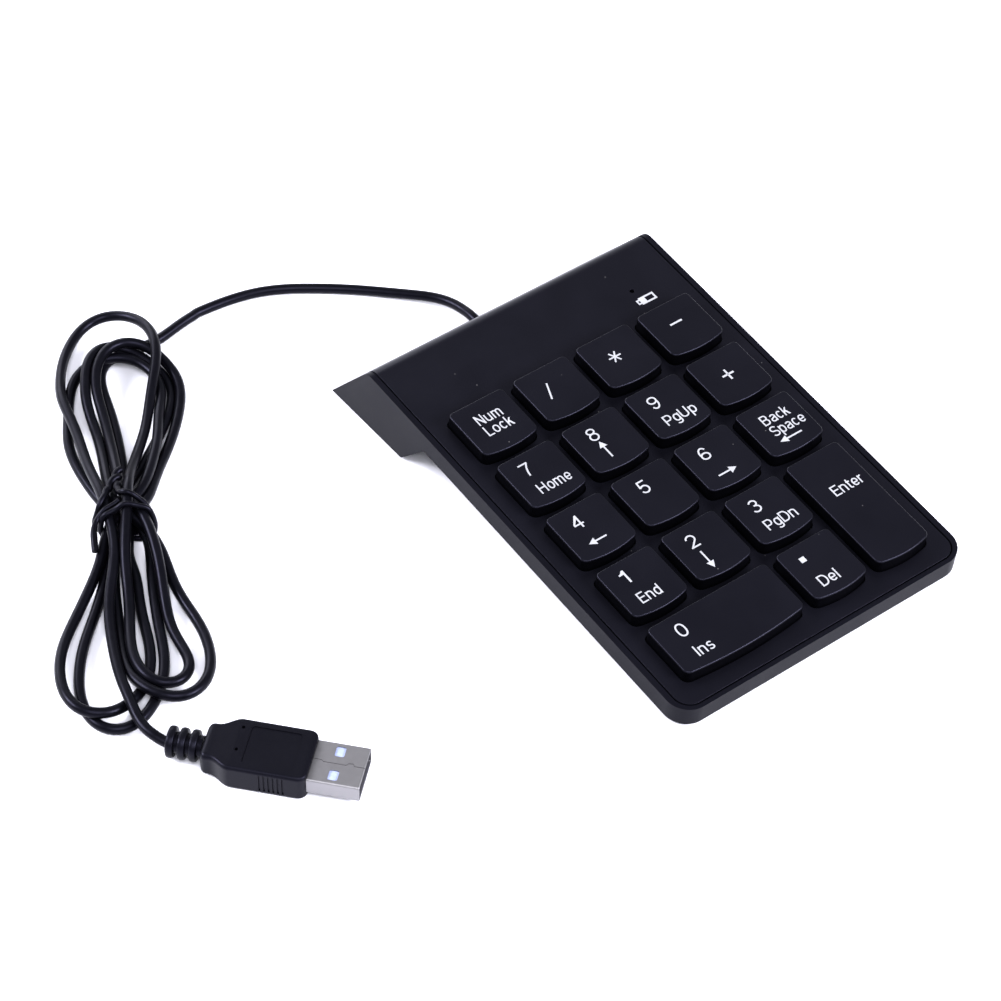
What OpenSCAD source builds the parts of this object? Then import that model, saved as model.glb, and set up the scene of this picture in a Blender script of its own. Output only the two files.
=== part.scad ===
// Wired numeric keypad with eighteen sprung keys, a hanked lead and a USB plug.
// Origin: the middle of the footprint of the keypad itself, on the surface it stands on.
// +X is to the right of the keys, +Y is towards the rear, where the lead leaves, +Z is up.
// The deck frame is the level frame tilted about the front lower edge of the case.

/* [Case] */
// Width of the case
case_w = 86; // [84:0.5:90]
// Length of the deck along its slope, from the front wall to the rear edge
deck_l = 121.7; // [121:0.1:123]
// Thickness of the deck, from its underside to its rim
deck_h = 5.5; // [5.5:0.1:5.8]
// Slope of the deck in degrees
tilt = 5.8; // [5.4:0.1:6.2]
// Radius of the two front corners in plan
corner_r = 6; // [5:0.5:7]
// Width of the rim beside the key plate
rim_side = 1.5; // [1.4:0.1:1.8]
// Width of the rim in front of the key plate
rim_front = 1.1; // [1:0.1:1.4]
// Radius of the roll over the rear edge
roll_r = 4; // [3:0.5:5]
// Groove between the rim and the key plate
groove = 0.4; // [0.3:0.05:0.5]

/* [Rear foot] */
// Where the front face of the foot meets the underside, measured level
foot_top_y = 97.4; // [97:0.1:98]
// Front edge of the foot's base, measured level
foot_front_y = 106.9; // [106:0.1:108]
// Rear edge of the foot's base, measured level
foot_back_y = 135.8; // [135:0.1:137]
// Height of the rubber feet below the case
feet_gap = 0.7; // [0.5:0.1:0.8]

/* [Keys] */
// Distance between key centres
pitch = 19; // [19:0.05:19.2]
// Width of a single key at its top
key_w = 15.6; // [15.4:0.1:15.8]
// Height of the key tops above the rim
key_rise = 3.4; // [3.2:0.1:3.6]
// Travel of a key
travel = 2; // [1.8:0.1:2]
// How far the front edge of a key bows forward
key_bow = 1.2; // [1:0.1:1.4]
// Distance of the rear row's centres from the front wall, along the slope
rear_row_y = 90.4; // [90:0.1:90.6]

/* [Lead] */
// Diameter of the lead
cord_d = 2.6; // [2.4:0.1:2.6]
// Height of the lead's outlet above the surface
outlet_z = 4; // [4:0.1:4.2]
// Position of the outlet across the case
outlet_x = -1.5; // [-3:0.5:1]

/* [Plug] */
// Width of the plug's moulded body
plug_w = 14.8; // [14:0.2:15]
// Thickness of the plug's moulded body
plug_t = 7.2; // [7:0.1:7.4]
// Width of the metal shell
shell_w = 12; // [12:0.1:12.2]
// Thickness of the metal shell
shell_t = 4.5; // [4.5:0.1:4.6]

/* [Hidden] */
$fn = 48;

// placing
front_lean = deck_h * sin(tilt);
case_y0 = -(foot_back_y - front_lean) / 2;

// deck levels, measured square to the deck from its underside
floor_t = 1;
plate_t = 0.4;
film_t = 0.1;
sheet_t = 0.3;
guide_t = 0.6;
cover_t = 1.3;
plate_z = floor_t;
lower_z = plate_z + plate_t;
spacer_z = lower_z + film_t;
upper_z = spacer_z + film_t;
sheet_z = upper_z + film_t;
guide_z = sheet_z + sheet_t;
guide_top = guide_z + guide_t;
cover_z = deck_h - cover_t;
key_top = deck_h + key_rise;
skirt_z = guide_top + travel + 0.2;
roof_t = 1.2;
roof_z = key_top - roof_t;
plunger_z = guide_top + travel;
dome_top = plunger_z - 0.1;
chimney_top = roof_z - travel - 0.3;

// case outline
inset_r = 4.5; // [4:0.5:5]
ledge_w = 1.4;
inner_w = case_w - 2 * (rim_side + ledge_w);
cover_w = case_w - 2 * (rim_side + groove);
inner_front = rim_front + ledge_w + 0.1;
stack_w = inner_w - 0.8;
stack_front = inner_front + 0.4;
stack_back = 97.4;
wall = 1.4;
seam_s = 13.8;

// keys
flare = 0.1;
skirt_wall = 0.9;
key_back = 7.7;
key_front = -6.9;
plunger_r = 3.5;
guide_bore_r = 3.65;
chimney_r = 4.5;
dome_r = 3.4;

// stabiliser wires, measured from the middle of a wide key
wire_r = 0.5;
bar_y = 5.4;
arm_x = 13.5;
arm_l = 7;
pivot_y = bar_y - arm_l;
bar_z = 5.6;
pivot_z = bar_z - travel / 2;
hook_x = 10.5;
post_x = 14.6;

// screws through the deck: column, row of the crossing in front of that row
deck_screws = [[-1, 0], [1, 0], [-1, 2], [1, 2], [0, 3]];
boss_r = 1.7;
screw_r = 0.8;
head_r = 1.6;
head_t = 0.6;
foot_screw_x = 35;
foot_screw_y = 112;
foot_screw_z = -2;
foot_r = 3;

// controller board
board_x0 = -16;
board_w = 47;
board_y0 = 100.5;
board_l = 19;
board_t = 1;
board_top = lower_z;
clamp_y = 103.5;
led_x = 27.5;
led_y = 107.9;
board_screw_x = [-13, 26.5];

// plug: where the metal shell leaves the moulding, and its heading
plug_x = -115.9;
plug_y = -28.7;
plug_heading = -48.7;
shell_l = 11.8;
body_l = 17.5;
flare_l = 5;
neck_w = 10.4;
neck_l = 2.6;
relief_l = 9.4;
relief_start = body_l + flare_l + neck_l;

// lead: the outlet and the routes of its two free stretches
outlet_y = 63.4;
run_route = [
  [-1.5, 63.4, 4], [-1.5, 67, 4], [-1.5, 71, 3.4], [-1.9, 75.5, 2.3], [-3.7, 80, 1.5],
  [-7.5, 84, 1.3], [-12.5, 89, 1.3], [-18, 94.2, 1.3], [-24, 99, 1.3], [-30, 103.4, 1.3],
  [-36, 106.8, 1.3], [-42, 108.8, 1.3], [-48, 109.8, 1.3], [-54, 110.3, 1.3], [-60, 110.5, 1.3],
  [-66, 110.5, 1.3], [-70, 110.2, 1.3]
];
tail_route = [
  [-138.3, 5.6, 3.6], [-138.9, 2.8, 3.6], [-139.3, 0.2, 3.6], [-139.1, -1.4, 3.6],
  [-138.6, -2.8, 3.6]
];

// hank: centres and radius of its two bows, and its waist
upper_bow = [-87, 101];
lower_bow = [-130, 23];
bow_r = 20;
hank_h = 7.5;
tie_at = [-106.5, 64];
hank_axis = (upper_bow - lower_bow) / norm(upper_bow - lower_bow);
hank_side = [hank_axis[1], -hank_axis[0]];
hank_angle = atan2(hank_axis[1], hank_axis[0]);
waist = 7;
tie_w = 1.6;
tie_t = 0.9;

function row_y(row) = rear_row_y - row * pitch;
function col_x(col) = (col - 1.5) * pitch;
function crossing(c) = [c[0] * pitch, row_y(c[1]) - 9.4];
function level_to_deck(y, z) = [y * cos(tilt) + z * sin(tilt), z * cos(tilt) - y * sin(tilt)];
function arc(x, y, r, from, to, n) =
  [for (i = [0 : n]) let (a = from + (to - from) * i / n) [x + r * cos(a), y + r * sin(a)]];

// rear edge of the deck, the direction down the rear face and the face's outward normal
rear_top = [deck_l, deck_h];
rear_foot = level_to_deck(foot_back_y, 0);
rear_dir = (rear_foot - rear_top) / norm(rear_foot - rear_top);
rear_out = [-rear_dir[1], rear_dir[0]];
rear_fall = -atan2(rear_dir[1], rear_dir[0]);
roll_back = roll_r * tan(rear_fall / 2);
roll_arc = [for (i = [0 : 8]) let (a = 90 - rear_fall * i / 8)
  [deck_l - roll_back + roll_r * cos(a), deck_h - roll_r + roll_r * sin(a)]];
seam_out = rear_top + rear_dir * seam_s;
seam_in = seam_out - rear_out * wall;
cover_inner_y = deck_l + (-wall + cover_t * rear_out[1]) / rear_out[0];

// a prism along X from an outline given as [along the slope, square to the deck]
module side_prism(w, points) {
  translate([-w / 2, 0, 0])
    rotate([90, 0, 90])
      linear_extrude(w)
        polygon(points);
}

// plan outline with two rounded front corners
module plan(w, y0, y1, r) {
  translate([-w / 2, y0 + r]) square([w, y1 - y0 - r]);
  translate([-w / 2 + r, y0]) square([w - 2 * r, r + 1]);
  for (s = [-1, 1]) translate([s * (w / 2 - r), y0 + r]) circle(r);
}

module plan_prism(w, y0, y1, r, z0, z1) {
  translate([0, 0, z0]) linear_extrude(z1 - z0) plan(w, y0, y1, r);
}

module level() {
  translate([0, case_y0, feet_gap]) children();
}

module deck() {
  level() rotate([tilt, 0, 0]) children();
}

module disc(x, y, r, z0, z1) {
  translate([x, y, z0]) cylinder(r = r, h = z1 - z0);
}

module block(x, y, z) {
  translate([x[0], y[0], z[0]]) cube([x[1] - x[0], y[1] - y[0], z[1] - z[0]]);
}

// a round bar between two points
module bar(a, b, r) {
  d = b - a;
  l = norm(d);
  translate(a) rotate([0, acos(d[2] / l), atan2(d[1], d[0])]) cylinder(r = r, h = l);
}

module at_crossings() {
  for (c = deck_screws) translate(crossing(c)) children();
}

module stack_film(z, t, hole_r) {
  difference() {
    block([-stack_w / 2, stack_w / 2], [stack_front, stack_back], [z, z + t]);
    at_crossings() disc(0, 0, hole_r, z - 1, z + t + 1);
  }
}

// ---- case ----

module bottom_case() {
  case_side = concat(
    [[0, 0], level_to_deck(foot_top_y, foot_top_y * tan(tilt)), level_to_deck(foot_front_y, 0),
      rear_foot],
    [for (i = [8 : -1 : 0]) roll_arc[i]],
    [[0, deck_h]]);
  cover_opening = [
    [rim_front, cover_z], [cover_inner_y, cover_z], seam_in, seam_out + rear_out * 3,
    [deck_l + 9, deck_h + 3], [rim_front, deck_h + 3]
  ];
  hollow = [
    [inner_front, floor_t], [foot_top_y + 2.4, floor_t],
    level_to_deck(foot_front_y + 1, wall), level_to_deck(foot_back_y - 3.3, wall),
    seam_in + rear_dir - rear_out * 0.2, [cover_inner_y - 0.4, cover_z + 0.1],
    [inner_front, cover_z + 0.1]
  ];
  color([0.09, 0.09, 0.1]) {
    deck() difference() {
      intersection() {
        side_prism(case_w, case_side);
        plan_prism(case_w, 0, deck_l + 30, corner_r, -30, deck_h + 1);
      }
      intersection() {
        side_prism(case_w - 2 * rim_side, cover_opening);
        plan_prism(case_w - 2 * rim_side, rim_front, deck_l + 30, inset_r, -30, deck_h + 4);
      }
      difference() {
        side_prism(inner_w, hollow);
        for (s = [-1, 1]) disc(s * foot_screw_x, foot_screw_y, 3, -14, -0.4);
        for (x = board_screw_x) disc(x, clamp_y, 2.4, -14, board_top - board_t);
        for (x = board_screw_x) disc(x, 116, 1.6, -14, board_top - board_t);
      }
      at_crossings() disc(0, 0, head_r + 0.2, -1, head_t);
      at_crossings() disc(0, 0, screw_r + 0.1, 0, floor_t + 1);
      for (s = [-1, 1]) disc(s * foot_screw_x, foot_screw_y, head_r + 0.3, -16, foot_screw_z);
      for (s = [-1, 1]) disc(s * foot_screw_x, foot_screw_y, screw_r + 0.1, -4, 3);
      for (x = board_screw_x) disc(x, clamp_y, screw_r + 0.02, -6, 3);
      level_cut() outlet_hole();
      level_cut() feet_recesses();
    }
  }
}

// undoes the deck's slope, for cuts that are square to the surface
module level_cut() {
  rotate([-tilt, 0, 0]) translate([0, -case_y0, -feet_gap]) children();
}

module outlet_hole() {
  translate([outlet_x, outlet_y - 7, outlet_z]) rotate([-90, 0, 0]) cylinder(r = 2.1, h = 14);
}

module feet_recesses() {
  for (s = [-1, 1]) {
    disc(s * 34, case_y0 + 8, foot_r + 0.1, -1, feet_gap + 1.15);
    disc(s * 34, case_y0 + 121, foot_r + 0.1, -1, feet_gap + 0.5);
  }
}

module top_cover() {
  skin = concat(
    [[rim_front + groove, cover_z], [rim_front + groove, deck_h]],
    roll_arc,
    [seam_out - rear_dir * 0.15, seam_in - rear_dir * 0.15, [cover_inner_y, cover_z]]);
  color([0.08, 0.08, 0.09]) deck() difference() {
    union() {
      intersection() {
        side_prism(cover_w, skin);
        plan_prism(cover_w, rim_front + groove, deck_l + 30, inset_r - groove, -30, 9);
      }
      at_crossings() disc(0, 0, boss_r, floor_t, cover_z + 0.5);
      for (s = [-1, 1]) disc(s * foot_screw_x, foot_screw_y, 2.4, -0.4, cover_z + 0.5);
    }
    for (k = single_keys) translate([col_x(k[0]), row_y(k[1]), 0]) key_window(0, 0);
    translate([col_x(0.5), row_y(4), 0]) key_window(1, 0);
    translate([col_x(3), row_y(3.5), 0]) key_window(0, 1);
    at_crossings() disc(0, 0, screw_r + 0.02, 0, cover_z);
    for (s = [-1, 1]) disc(s * foot_screw_x, foot_screw_y, screw_r + 0.02, -2, cover_z);
    disc(led_x, led_y, 0.8, cover_z - 1, deck_h + 1);
  }
}

// ---- keys ----

// column and row of every single key
single_keys = concat(
  [for (r = [0 : 2]) for (c = [0 : 3]) [c, r]],
  [for (c = [0 : 2]) [c, 3]],
  [[2, 4]]);

// outline of a key: straight back, parallel sides, bowed front, rounded corners
function key_outline(w, back, front, bow, r) =
  let (h = w / 2, big = (h * h + bow * bow) / (2 * bow), rise = sqrt(pow(big - r, 2) - pow(h - r, 2)),
    cy = front - bow + big, open = atan2(h - r, rise))
  concat(
    arc(h - r * 0.7, back - r * 0.7, r * 0.7, 0, 90, 4),
    arc(-h + r * 0.7, back - r * 0.7, r * 0.7, 90, 180, 4),
    arc(-h + r, cy - rise, r, 180, 270 - open, 4),
    arc(0, cy, big, 270 - open * 0.8, 270 + open * 0.8, 6),
    arc(h - r, cy - rise, r, 270 + open, 360, 4));

// outline grown by g, for a key that is wide or tall
function key_shape(wide, tall, g) =
  key_outline(key_w + wide * pitch + 2 * g, key_back + tall * pitch / 2 + g,
    key_front - tall * pitch / 2 - g, key_bow, 1.6 + g);

module key_window(wide, tall) {
  translate([0, 0, cover_z - 3]) linear_extrude(9) polygon(key_shape(wide, tall, flare + 0.35));
}

// a flared shell between two levels
module key_flare(wide, tall, g0, g1, z0, z1) {
  hull() {
    translate([0, 0, z0]) linear_extrude(0.01) polygon(key_shape(wide, tall, g0));
    translate([0, 0, z1 - 0.01]) linear_extrude(0.01) polygon(key_shape(wide, tall, g1));
  }
}

module wire_hook() {
  difference() {
    block([-1, 1], [bar_y - 1.1, bar_y + 1.1], [bar_z - 0.85, roof_z + 0.3]);
    block([-2, 2], [bar_y - 0.62, bar_y + 0.68], [bar_z - 0.58, bar_z + 0.58]);
  }
}

module keycap(wide, tall, turn) {
  low_flare = flare + 0.12;
  difference() {
    key_flare(wide, tall, low_flare, 0, skirt_z, key_top);
    key_flare(wide, tall, low_flare - skirt_wall, -skirt_wall + 0.2, skirt_z - 0.1, roof_z);
  }
  disc(0, 0, plunger_r, plunger_z, roof_z + 0.2);
  if (wide + tall > 0) rotate([0, 0, turn])
    for (s = [-1, 1]) translate([s * hook_x, 0, 0]) wire_hook();
}

module single_key(col, row) {
  color([0.1, 0.1, 0.11]) deck() translate([col_x(col), row_y(row), 0]) keycap(0, 0, 0);
}

module key_num_lock() { single_key(0, 0); }
module key_divide() { single_key(1, 0); }
module key_multiply() { single_key(2, 0); }
module key_minus() { single_key(3, 0); }
module key_7() { single_key(0, 1); }
module key_8() { single_key(1, 1); }
module key_9() { single_key(2, 1); }
module key_plus() { single_key(3, 1); }
module key_4() { single_key(0, 2); }
module key_5() { single_key(1, 2); }
module key_6() { single_key(2, 2); }
module key_backspace() { single_key(3, 2); }
module key_1() { single_key(0, 3); }
module key_2() { single_key(1, 3); }
module key_3() { single_key(2, 3); }
module key_point() { single_key(2, 4); }

module key_0() {
  color([0.1, 0.1, 0.11]) deck() translate([col_x(0.5), row_y(4), 0]) keycap(1, 0, 0);
}

module key_enter() {
  color([0.1, 0.1, 0.11]) deck() translate([col_x(3), row_y(3.5), 0]) keycap(0, 1, -90);
}

// ---- key mechanism ----

module at_key_centres() {
  for (k = single_keys) translate([col_x(k[0]), row_y(k[1]), 0]) children();
  translate([col_x(0.5), row_y(4), 0]) children();
  translate([col_x(3), row_y(3.5), 0]) children();
}

module wire_posts() {
  for (s = [-1, 1]) difference() {
    block([s * (post_x + 0.5) - 0.5, s * (post_x + 0.5) + 0.5], [pivot_y - 1.2, pivot_y + 1.2],
      [guide_z + 0.1, pivot_z + 0.95]);
    translate([s * post_x - 3, pivot_y, pivot_z]) rotate([0, 90, 0]) cylinder(r = wire_r + 0.06, h = 6);
  }
}

module key_guide() {
  color([0.16, 0.16, 0.17]) deck() {
    difference() {
      union() {
        stack_film(guide_z, guide_t, boss_r + 0.3);
        at_key_centres() disc(0, 0, chimney_r, guide_z, chimney_top);
        translate([col_x(0.5), row_y(4), 0]) wire_posts();
        translate([col_x(3), row_y(3.5), 0]) rotate([0, 0, -90]) wire_posts();
      }
      at_key_centres() disc(0, 0, guide_bore_r, guide_z - 1, chimney_top + 1);
    }
  }
}

module dome() {
  rotate_extrude() polygon([
    [1, sheet_z + 0.6], [1, dome_top - 0.9], [1.6, dome_top - 0.9], [dome_r - 0.6, sheet_z],
    [dome_r, sheet_z], [dome_r, sheet_z + sheet_t], [2.2, dome_top - 0.9], [2.2, dome_top],
    [0, dome_top], [0, sheet_z + 0.6]
  ]);
}

module dome_sheet() {
  color([0.75, 0.75, 0.72]) deck() {
    difference() {
      stack_film(sheet_z, sheet_t, boss_r + 0.3);
      at_key_centres() disc(0, 0, dome_r - 0.3, sheet_z - 1, guide_z + 1);
    }
    at_key_centres() dome();
  }
}

module membrane_upper() {
  color([0.8, 0.85, 0.8]) deck() stack_film(upper_z, film_t, boss_r + 0.3);
}

module membrane_spacer() {
  color([0.9, 0.9, 0.85]) deck() difference() {
    stack_film(spacer_z, film_t, boss_r + 0.3);
    at_key_centres() disc(0, 0, 2.5, spacer_z - 1, upper_z + 1);
  }
}

module membrane_lower() {
  color([0.8, 0.85, 0.8]) deck() {
    stack_film(lower_z, film_t, boss_r + 0.3);
    block([-11, 11], [stack_back - 0.1, clamp_y + 2], [lower_z, spacer_z]);
  }
}

module support_plate() {
  color([0.6, 0.62, 0.65]) deck() stack_film(plate_z, plate_t, boss_r + 0.3);
}

// a bent wire: a bar under the key, two arms and two pivot pins
module stabiliser() {
  color([0.7, 0.72, 0.75]) {
    bar([-arm_x, bar_y, bar_z], [arm_x, bar_y, bar_z], wire_r);
    for (s = [-1, 1]) {
      bar([s * arm_x, bar_y, bar_z], [s * arm_x, pivot_y, pivot_z], wire_r);
      bar([s * arm_x, pivot_y, pivot_z], [s * (post_x + 1.2), pivot_y, pivot_z], wire_r);
      translate([s * arm_x, bar_y, bar_z]) sphere(wire_r + 0.06);
      translate([s * arm_x, pivot_y, pivot_z]) sphere(wire_r + 0.06);
    }
  }
}

module stabiliser_zero() {
  deck() translate([col_x(0.5), row_y(4), 0]) stabiliser();
}

module stabiliser_enter() {
  deck() translate([col_x(3), row_y(3.5), 0]) rotate([0, 0, -90]) stabiliser();
}

// ---- electronics ----

module controller_board() {
  color([0.1, 0.35, 0.18]) deck() difference() {
    block([board_x0, board_x0 + board_w], [board_y0, board_y0 + board_l],
      [board_top - board_t, board_top]);
    for (x = board_screw_x) disc(x, clamp_y, screw_r + 0.1, -2, 3);
  }
}

module controller_chip() {
  color([0.12, 0.12, 0.12]) deck() {
    block([10, 20], [110, 114], [board_top + 0.15, board_top + 1.7]);
    for (i = [0 : 7]) for (y = [109, 113.9])
      block([10.4 + i * 1.25, 10.8 + i * 1.25], [y, y + 1.1], [board_top, board_top + 0.5]);
  }
}

module board_parts() {
  color([0.7, 0.6, 0.45]) deck() {
    disc(-11, 112, 2, board_top, board_top + 2.6);
    block([0, 8], [111, 114], [board_top, board_top + 1.4]);
    for (i = [0 : 4]) block([-6 + i * 2.4, -5 + i * 2.4], [116, 117.8], [board_top, board_top + 0.6]);
  }
}

module status_led() {
  color([0.9, 0.9, 0.8]) deck() {
    block([led_x - 0.8, led_x + 0.8], [led_y - 0.5, led_y + 1.5], [board_top, board_top + 0.7]);
  }
}

module light_pipe() {
  color([0.3, 0.3, 0.33]) deck() {
    disc(led_x, led_y, 1.2, board_top + 0.8, cover_z);
    disc(led_x, led_y, 0.78, cover_z, deck_h - 0.4);
  }
}

module tail_clamp() {
  color([0.3, 0.3, 0.3]) deck() difference() {
    block([board_x0 + 1, board_x0 + board_w - 1], [clamp_y - 2.2, clamp_y + 2.2], [spacer_z, spacer_z + 1.8]);
    for (x = board_screw_x) disc(x, clamp_y, screw_r + 0.1, 0, 5);
  }
}

module cable_header() {
  color([0.9, 0.88, 0.8]) deck()
    block([outlet_x - 5, outlet_x + 5], [110.5, 114.5], [board_top - board_t - 2.4, board_top - board_t]);
}

// a pan-head screw standing on [x, y], its head up or down
module screw(x, y, z_head, z_tip, side) {
  head = side * head_t;
  disc(x, y, head_r, min(z_head, z_head + head), max(z_head, z_head + head));
  disc(x, y, screw_r, min(z_head, z_tip), max(z_head, z_tip));
}

module board_screws() {
  color([0.75, 0.75, 0.76]) deck()
    for (x = board_screw_x) screw(x, clamp_y, spacer_z + 1.8, -4, 1);
}

module case_screws() {
  color([0.2, 0.2, 0.21]) deck() {
    at_crossings() screw(0, 0, head_t, cover_z - 0.3, -1);
    for (s = [-1, 1]) screw(s * foot_screw_x, foot_screw_y, foot_screw_z, cover_z - 0.3, -1);
  }
}

module rubber_feet() {
  color([0.05, 0.05, 0.05]) {
    for (s = [-1, 1]) {
      disc(s * 34, case_y0 + 8, foot_r, 0, feet_gap + 1.15);
      disc(s * 34, case_y0 + 121, foot_r, 0, feet_gap + 0.5);
    }
  }
}

// ---- lead inside the case ----

module outlet_axis(y, l, r) {
  translate([outlet_x, y, outlet_z]) rotate([-90, 0, 0]) cylinder(r = r, h = l);
}

module cable_grommet() {
  color([0.07, 0.07, 0.07]) difference() {
    union() {
      outlet_axis(outlet_y - 5.4, 5.4, 2.08);
      translate([outlet_x - 3, outlet_y - 6.4, outlet_z - 1.8]) cube([6, 1.2, 5]);
    }
    outlet_axis(outlet_y - 8, 9, cord_d / 2);
  }
}

module cable_inner() {
  color([0.06, 0.06, 0.07]) outlet_axis(outlet_y - 15, 15, cord_d / 2 - 0.02);
}

module header_wires() {
  color([0.6, 0.1, 0.1]) for (i = [0 : 3])
    bar([outlet_x - 0.66 + i * 0.44, outlet_y - 15.1, outlet_z],
      [outlet_x - 3 + i * 2, outlet_y - 17.4, 9.6], 0.2);
}

module cord_clamp() {
  color([0.2, 0.2, 0.2]) difference() {
    translate([outlet_x - 3.5, outlet_y - 12.5, feet_gap + wall]) cube([7, 4, 4.4]);
    outlet_axis(outlet_y - 16, 12, cord_d / 2);
  }
}

// ---- lead outside the case ----

// a ring of eight points square to the route at point i
function unit(v) = v / norm(v);
function heading(p, i) = unit(p[min(i + 1, len(p) - 1)] - p[max(i - 1, 0)]);
function ring(p, i, r) =
  let (t = heading(p, i), s = unit(cross(t, [0, 0, 1])), u = cross(s, t))
  [for (k = [0 : 7]) p[i] + r * (cos(k * 45) * s + sin(k * 45) * u)];

module tube(route, r) {
  n = len(route);
  points = [for (i = [0 : n - 1]) each ring(route, i, r)];
  sides = [for (i = [0 : n - 2]) for (k = [0 : 7])
    [i * 8 + k, (i + 1) * 8 + k, (i + 1) * 8 + (k + 1) % 8, i * 8 + (k + 1) % 8]];
  first = [for (k = [0 : 7]) k];
  last = [for (k = [7 : -1 : 0]) (n - 1) * 8 + k];
  polyhedron(points = points, faces = concat([first], sides, [last]));
}

module cable_run() {
  color([0.06, 0.06, 0.07]) tube(run_route, cord_d / 2);
}

module cable_tail() {
  color([0.06, 0.06, 0.07]) tube(tail_route, cord_d / 2);
}

module hank_outline() {
  polygon(concat(
    arc(upper_bow[0], upper_bow[1], bow_r, hank_angle - 80, hank_angle + 80, 16),
    [tie_at - hank_side * waist],
    arc(lower_bow[0], lower_bow[1], bow_r, hank_angle + 100, hank_angle + 260, 16),
    [tie_at + hank_side * waist]));
}

module cable_hank() {
  color([0.06, 0.06, 0.07]) difference() {
    linear_extrude(hank_h) hank_outline();
    translate([tie_at[0], tie_at[1], 0]) rotate([0, 0, hank_angle]) {
      block([-tie_w / 2 - 0.1, tie_w / 2 + 0.1], [-20, 20], [-1, tie_t + 0.1]);
    }
  }
}

module twist_tie() {
  w = waist + 0.4;
  color([0.05, 0.05, 0.06]) translate([tie_at[0], tie_at[1], 0]) rotate([0, 0, hank_angle]) {
    difference() {
      block([-tie_w / 2, tie_w / 2], [-w - tie_t, w + tie_t], [0, hank_h + 0.2 + tie_t]);
      block([-tie_w, tie_w], [-w, w], [tie_t, hank_h + 0.2]);
    }
    bar([0, w, hank_h + 0.6], [9, w + 1, hank_h + 1.5], 0.7);
    bar([0, w + 0.4, hank_h], [-9, w + 3, 2], 0.7);
  }
}

// ---- plug ----

module plug_frame() {
  translate([plug_x, plug_y, plug_t / 2]) rotate([0, 0, plug_heading]) children();
}

// half width of the moulding along the shoulder, an S curve
function shoulder(f) = neck_w / 2 + (plug_w - neck_w) / 2 * (1 - cos(180 * f)) / 2;

module plug_body() {
  edge = concat(
    [[-relief_start, neck_w / 2 - 1.4], [-relief_start + 1.2, neck_w / 2]],
    [for (i = [0 : 6]) [-body_l - flare_l + flare_l * i / 6, shoulder(i / 6)]],
    arc(-2, plug_w / 2 - 2, 2, 90, 0, 4));
  n = len(edge);
  outline = concat(edge, [for (i = [n - 1 : -1 : 0]) [edge[i][0], -edge[i][1]]]);
  color([0.08, 0.08, 0.09]) plug_frame() difference() {
    translate([0, 0, -plug_t / 2]) linear_extrude(plug_t) polygon(outline);
    block([-6, 1], [-shell_w / 2 - 0.02, shell_w / 2 + 0.02], [-shell_t / 2 - 0.02, shell_t / 2 + 0.02]);
  }
}

module plug_relief() {
  color([0.08, 0.08, 0.09]) plug_frame() {
    translate([-relief_start - relief_l, 0, 0]) rotate([0, 90, 0]) cylinder(r = 2.5, h = relief_l);
    for (i = [0 : 2]) translate([-relief_start - relief_l + i * 3.1, 0, 0])
      rotate([0, 90, 0]) cylinder(r = 3.5, h = 2.1);
  }
}

module plug_shell() {
  color([0.75, 0.75, 0.76]) plug_frame() difference() {
    block([-6, shell_l], [-shell_w / 2, shell_w / 2], [-shell_t / 2, shell_t / 2]);
    block([-7, shell_l + 1], [-shell_w / 2 + 0.3, shell_w / 2 - 0.3], [-shell_t / 2 + 0.3, shell_t / 2 - 0.3]);
    for (x = [5.4]) for (y = [-3.35, 3.35])
      block([x - 1.1, x + 1.1], [y - 1.1, y + 1.1], [0, shell_t]);
    for (x = [5.4]) for (y = [-3.35, 3.35])
      block([x - 1.1, x + 1.1], [y - 1.1, y + 1.1], [-shell_t, 0]);
  }
}

module plug_tongue() {
  color([0.85, 0.88, 0.95]) plug_frame()
    block([-6, shell_l - 0.4], [-shell_w / 2 + 0.32, shell_w / 2 - 0.32], [0.1, shell_t / 2 - 0.32]);
}

module plug_contacts() {
  color([0.8, 0.65, 0.3]) plug_frame() for (y = [-3.5, -1, 1, 3.5])
    block([1, shell_l - 1], [y - 0.5, y + 0.5], [-0.1, 0.1]);
}

bottom_case();
top_cover();
key_guide();
dome_sheet();
membrane_upper();
membrane_spacer();
membrane_lower();
support_plate();
key_num_lock();
key_divide();
key_multiply();
key_minus();
key_7();
key_8();
key_9();
key_plus();
key_4();
key_5();
key_6();
key_backspace();
key_1();
key_2();
key_3();
key_enter();
key_0();
key_point();
stabiliser_zero();
stabiliser_enter();
controller_board();
controller_chip();
board_parts();
status_led();
light_pipe();
tail_clamp();
cable_header();
board_screws();
case_screws();
rubber_feet();
cable_grommet();
cable_inner();
header_wires();
cord_clamp();
cable_run();
cable_hank();
cable_tail();
twist_tie();
plug_relief();
plug_body();
plug_shell();
plug_tongue();
plug_contacts();
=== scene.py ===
import math

import bmesh
import bpy
import numpy as np
from mathutils import Matrix, Vector


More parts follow.
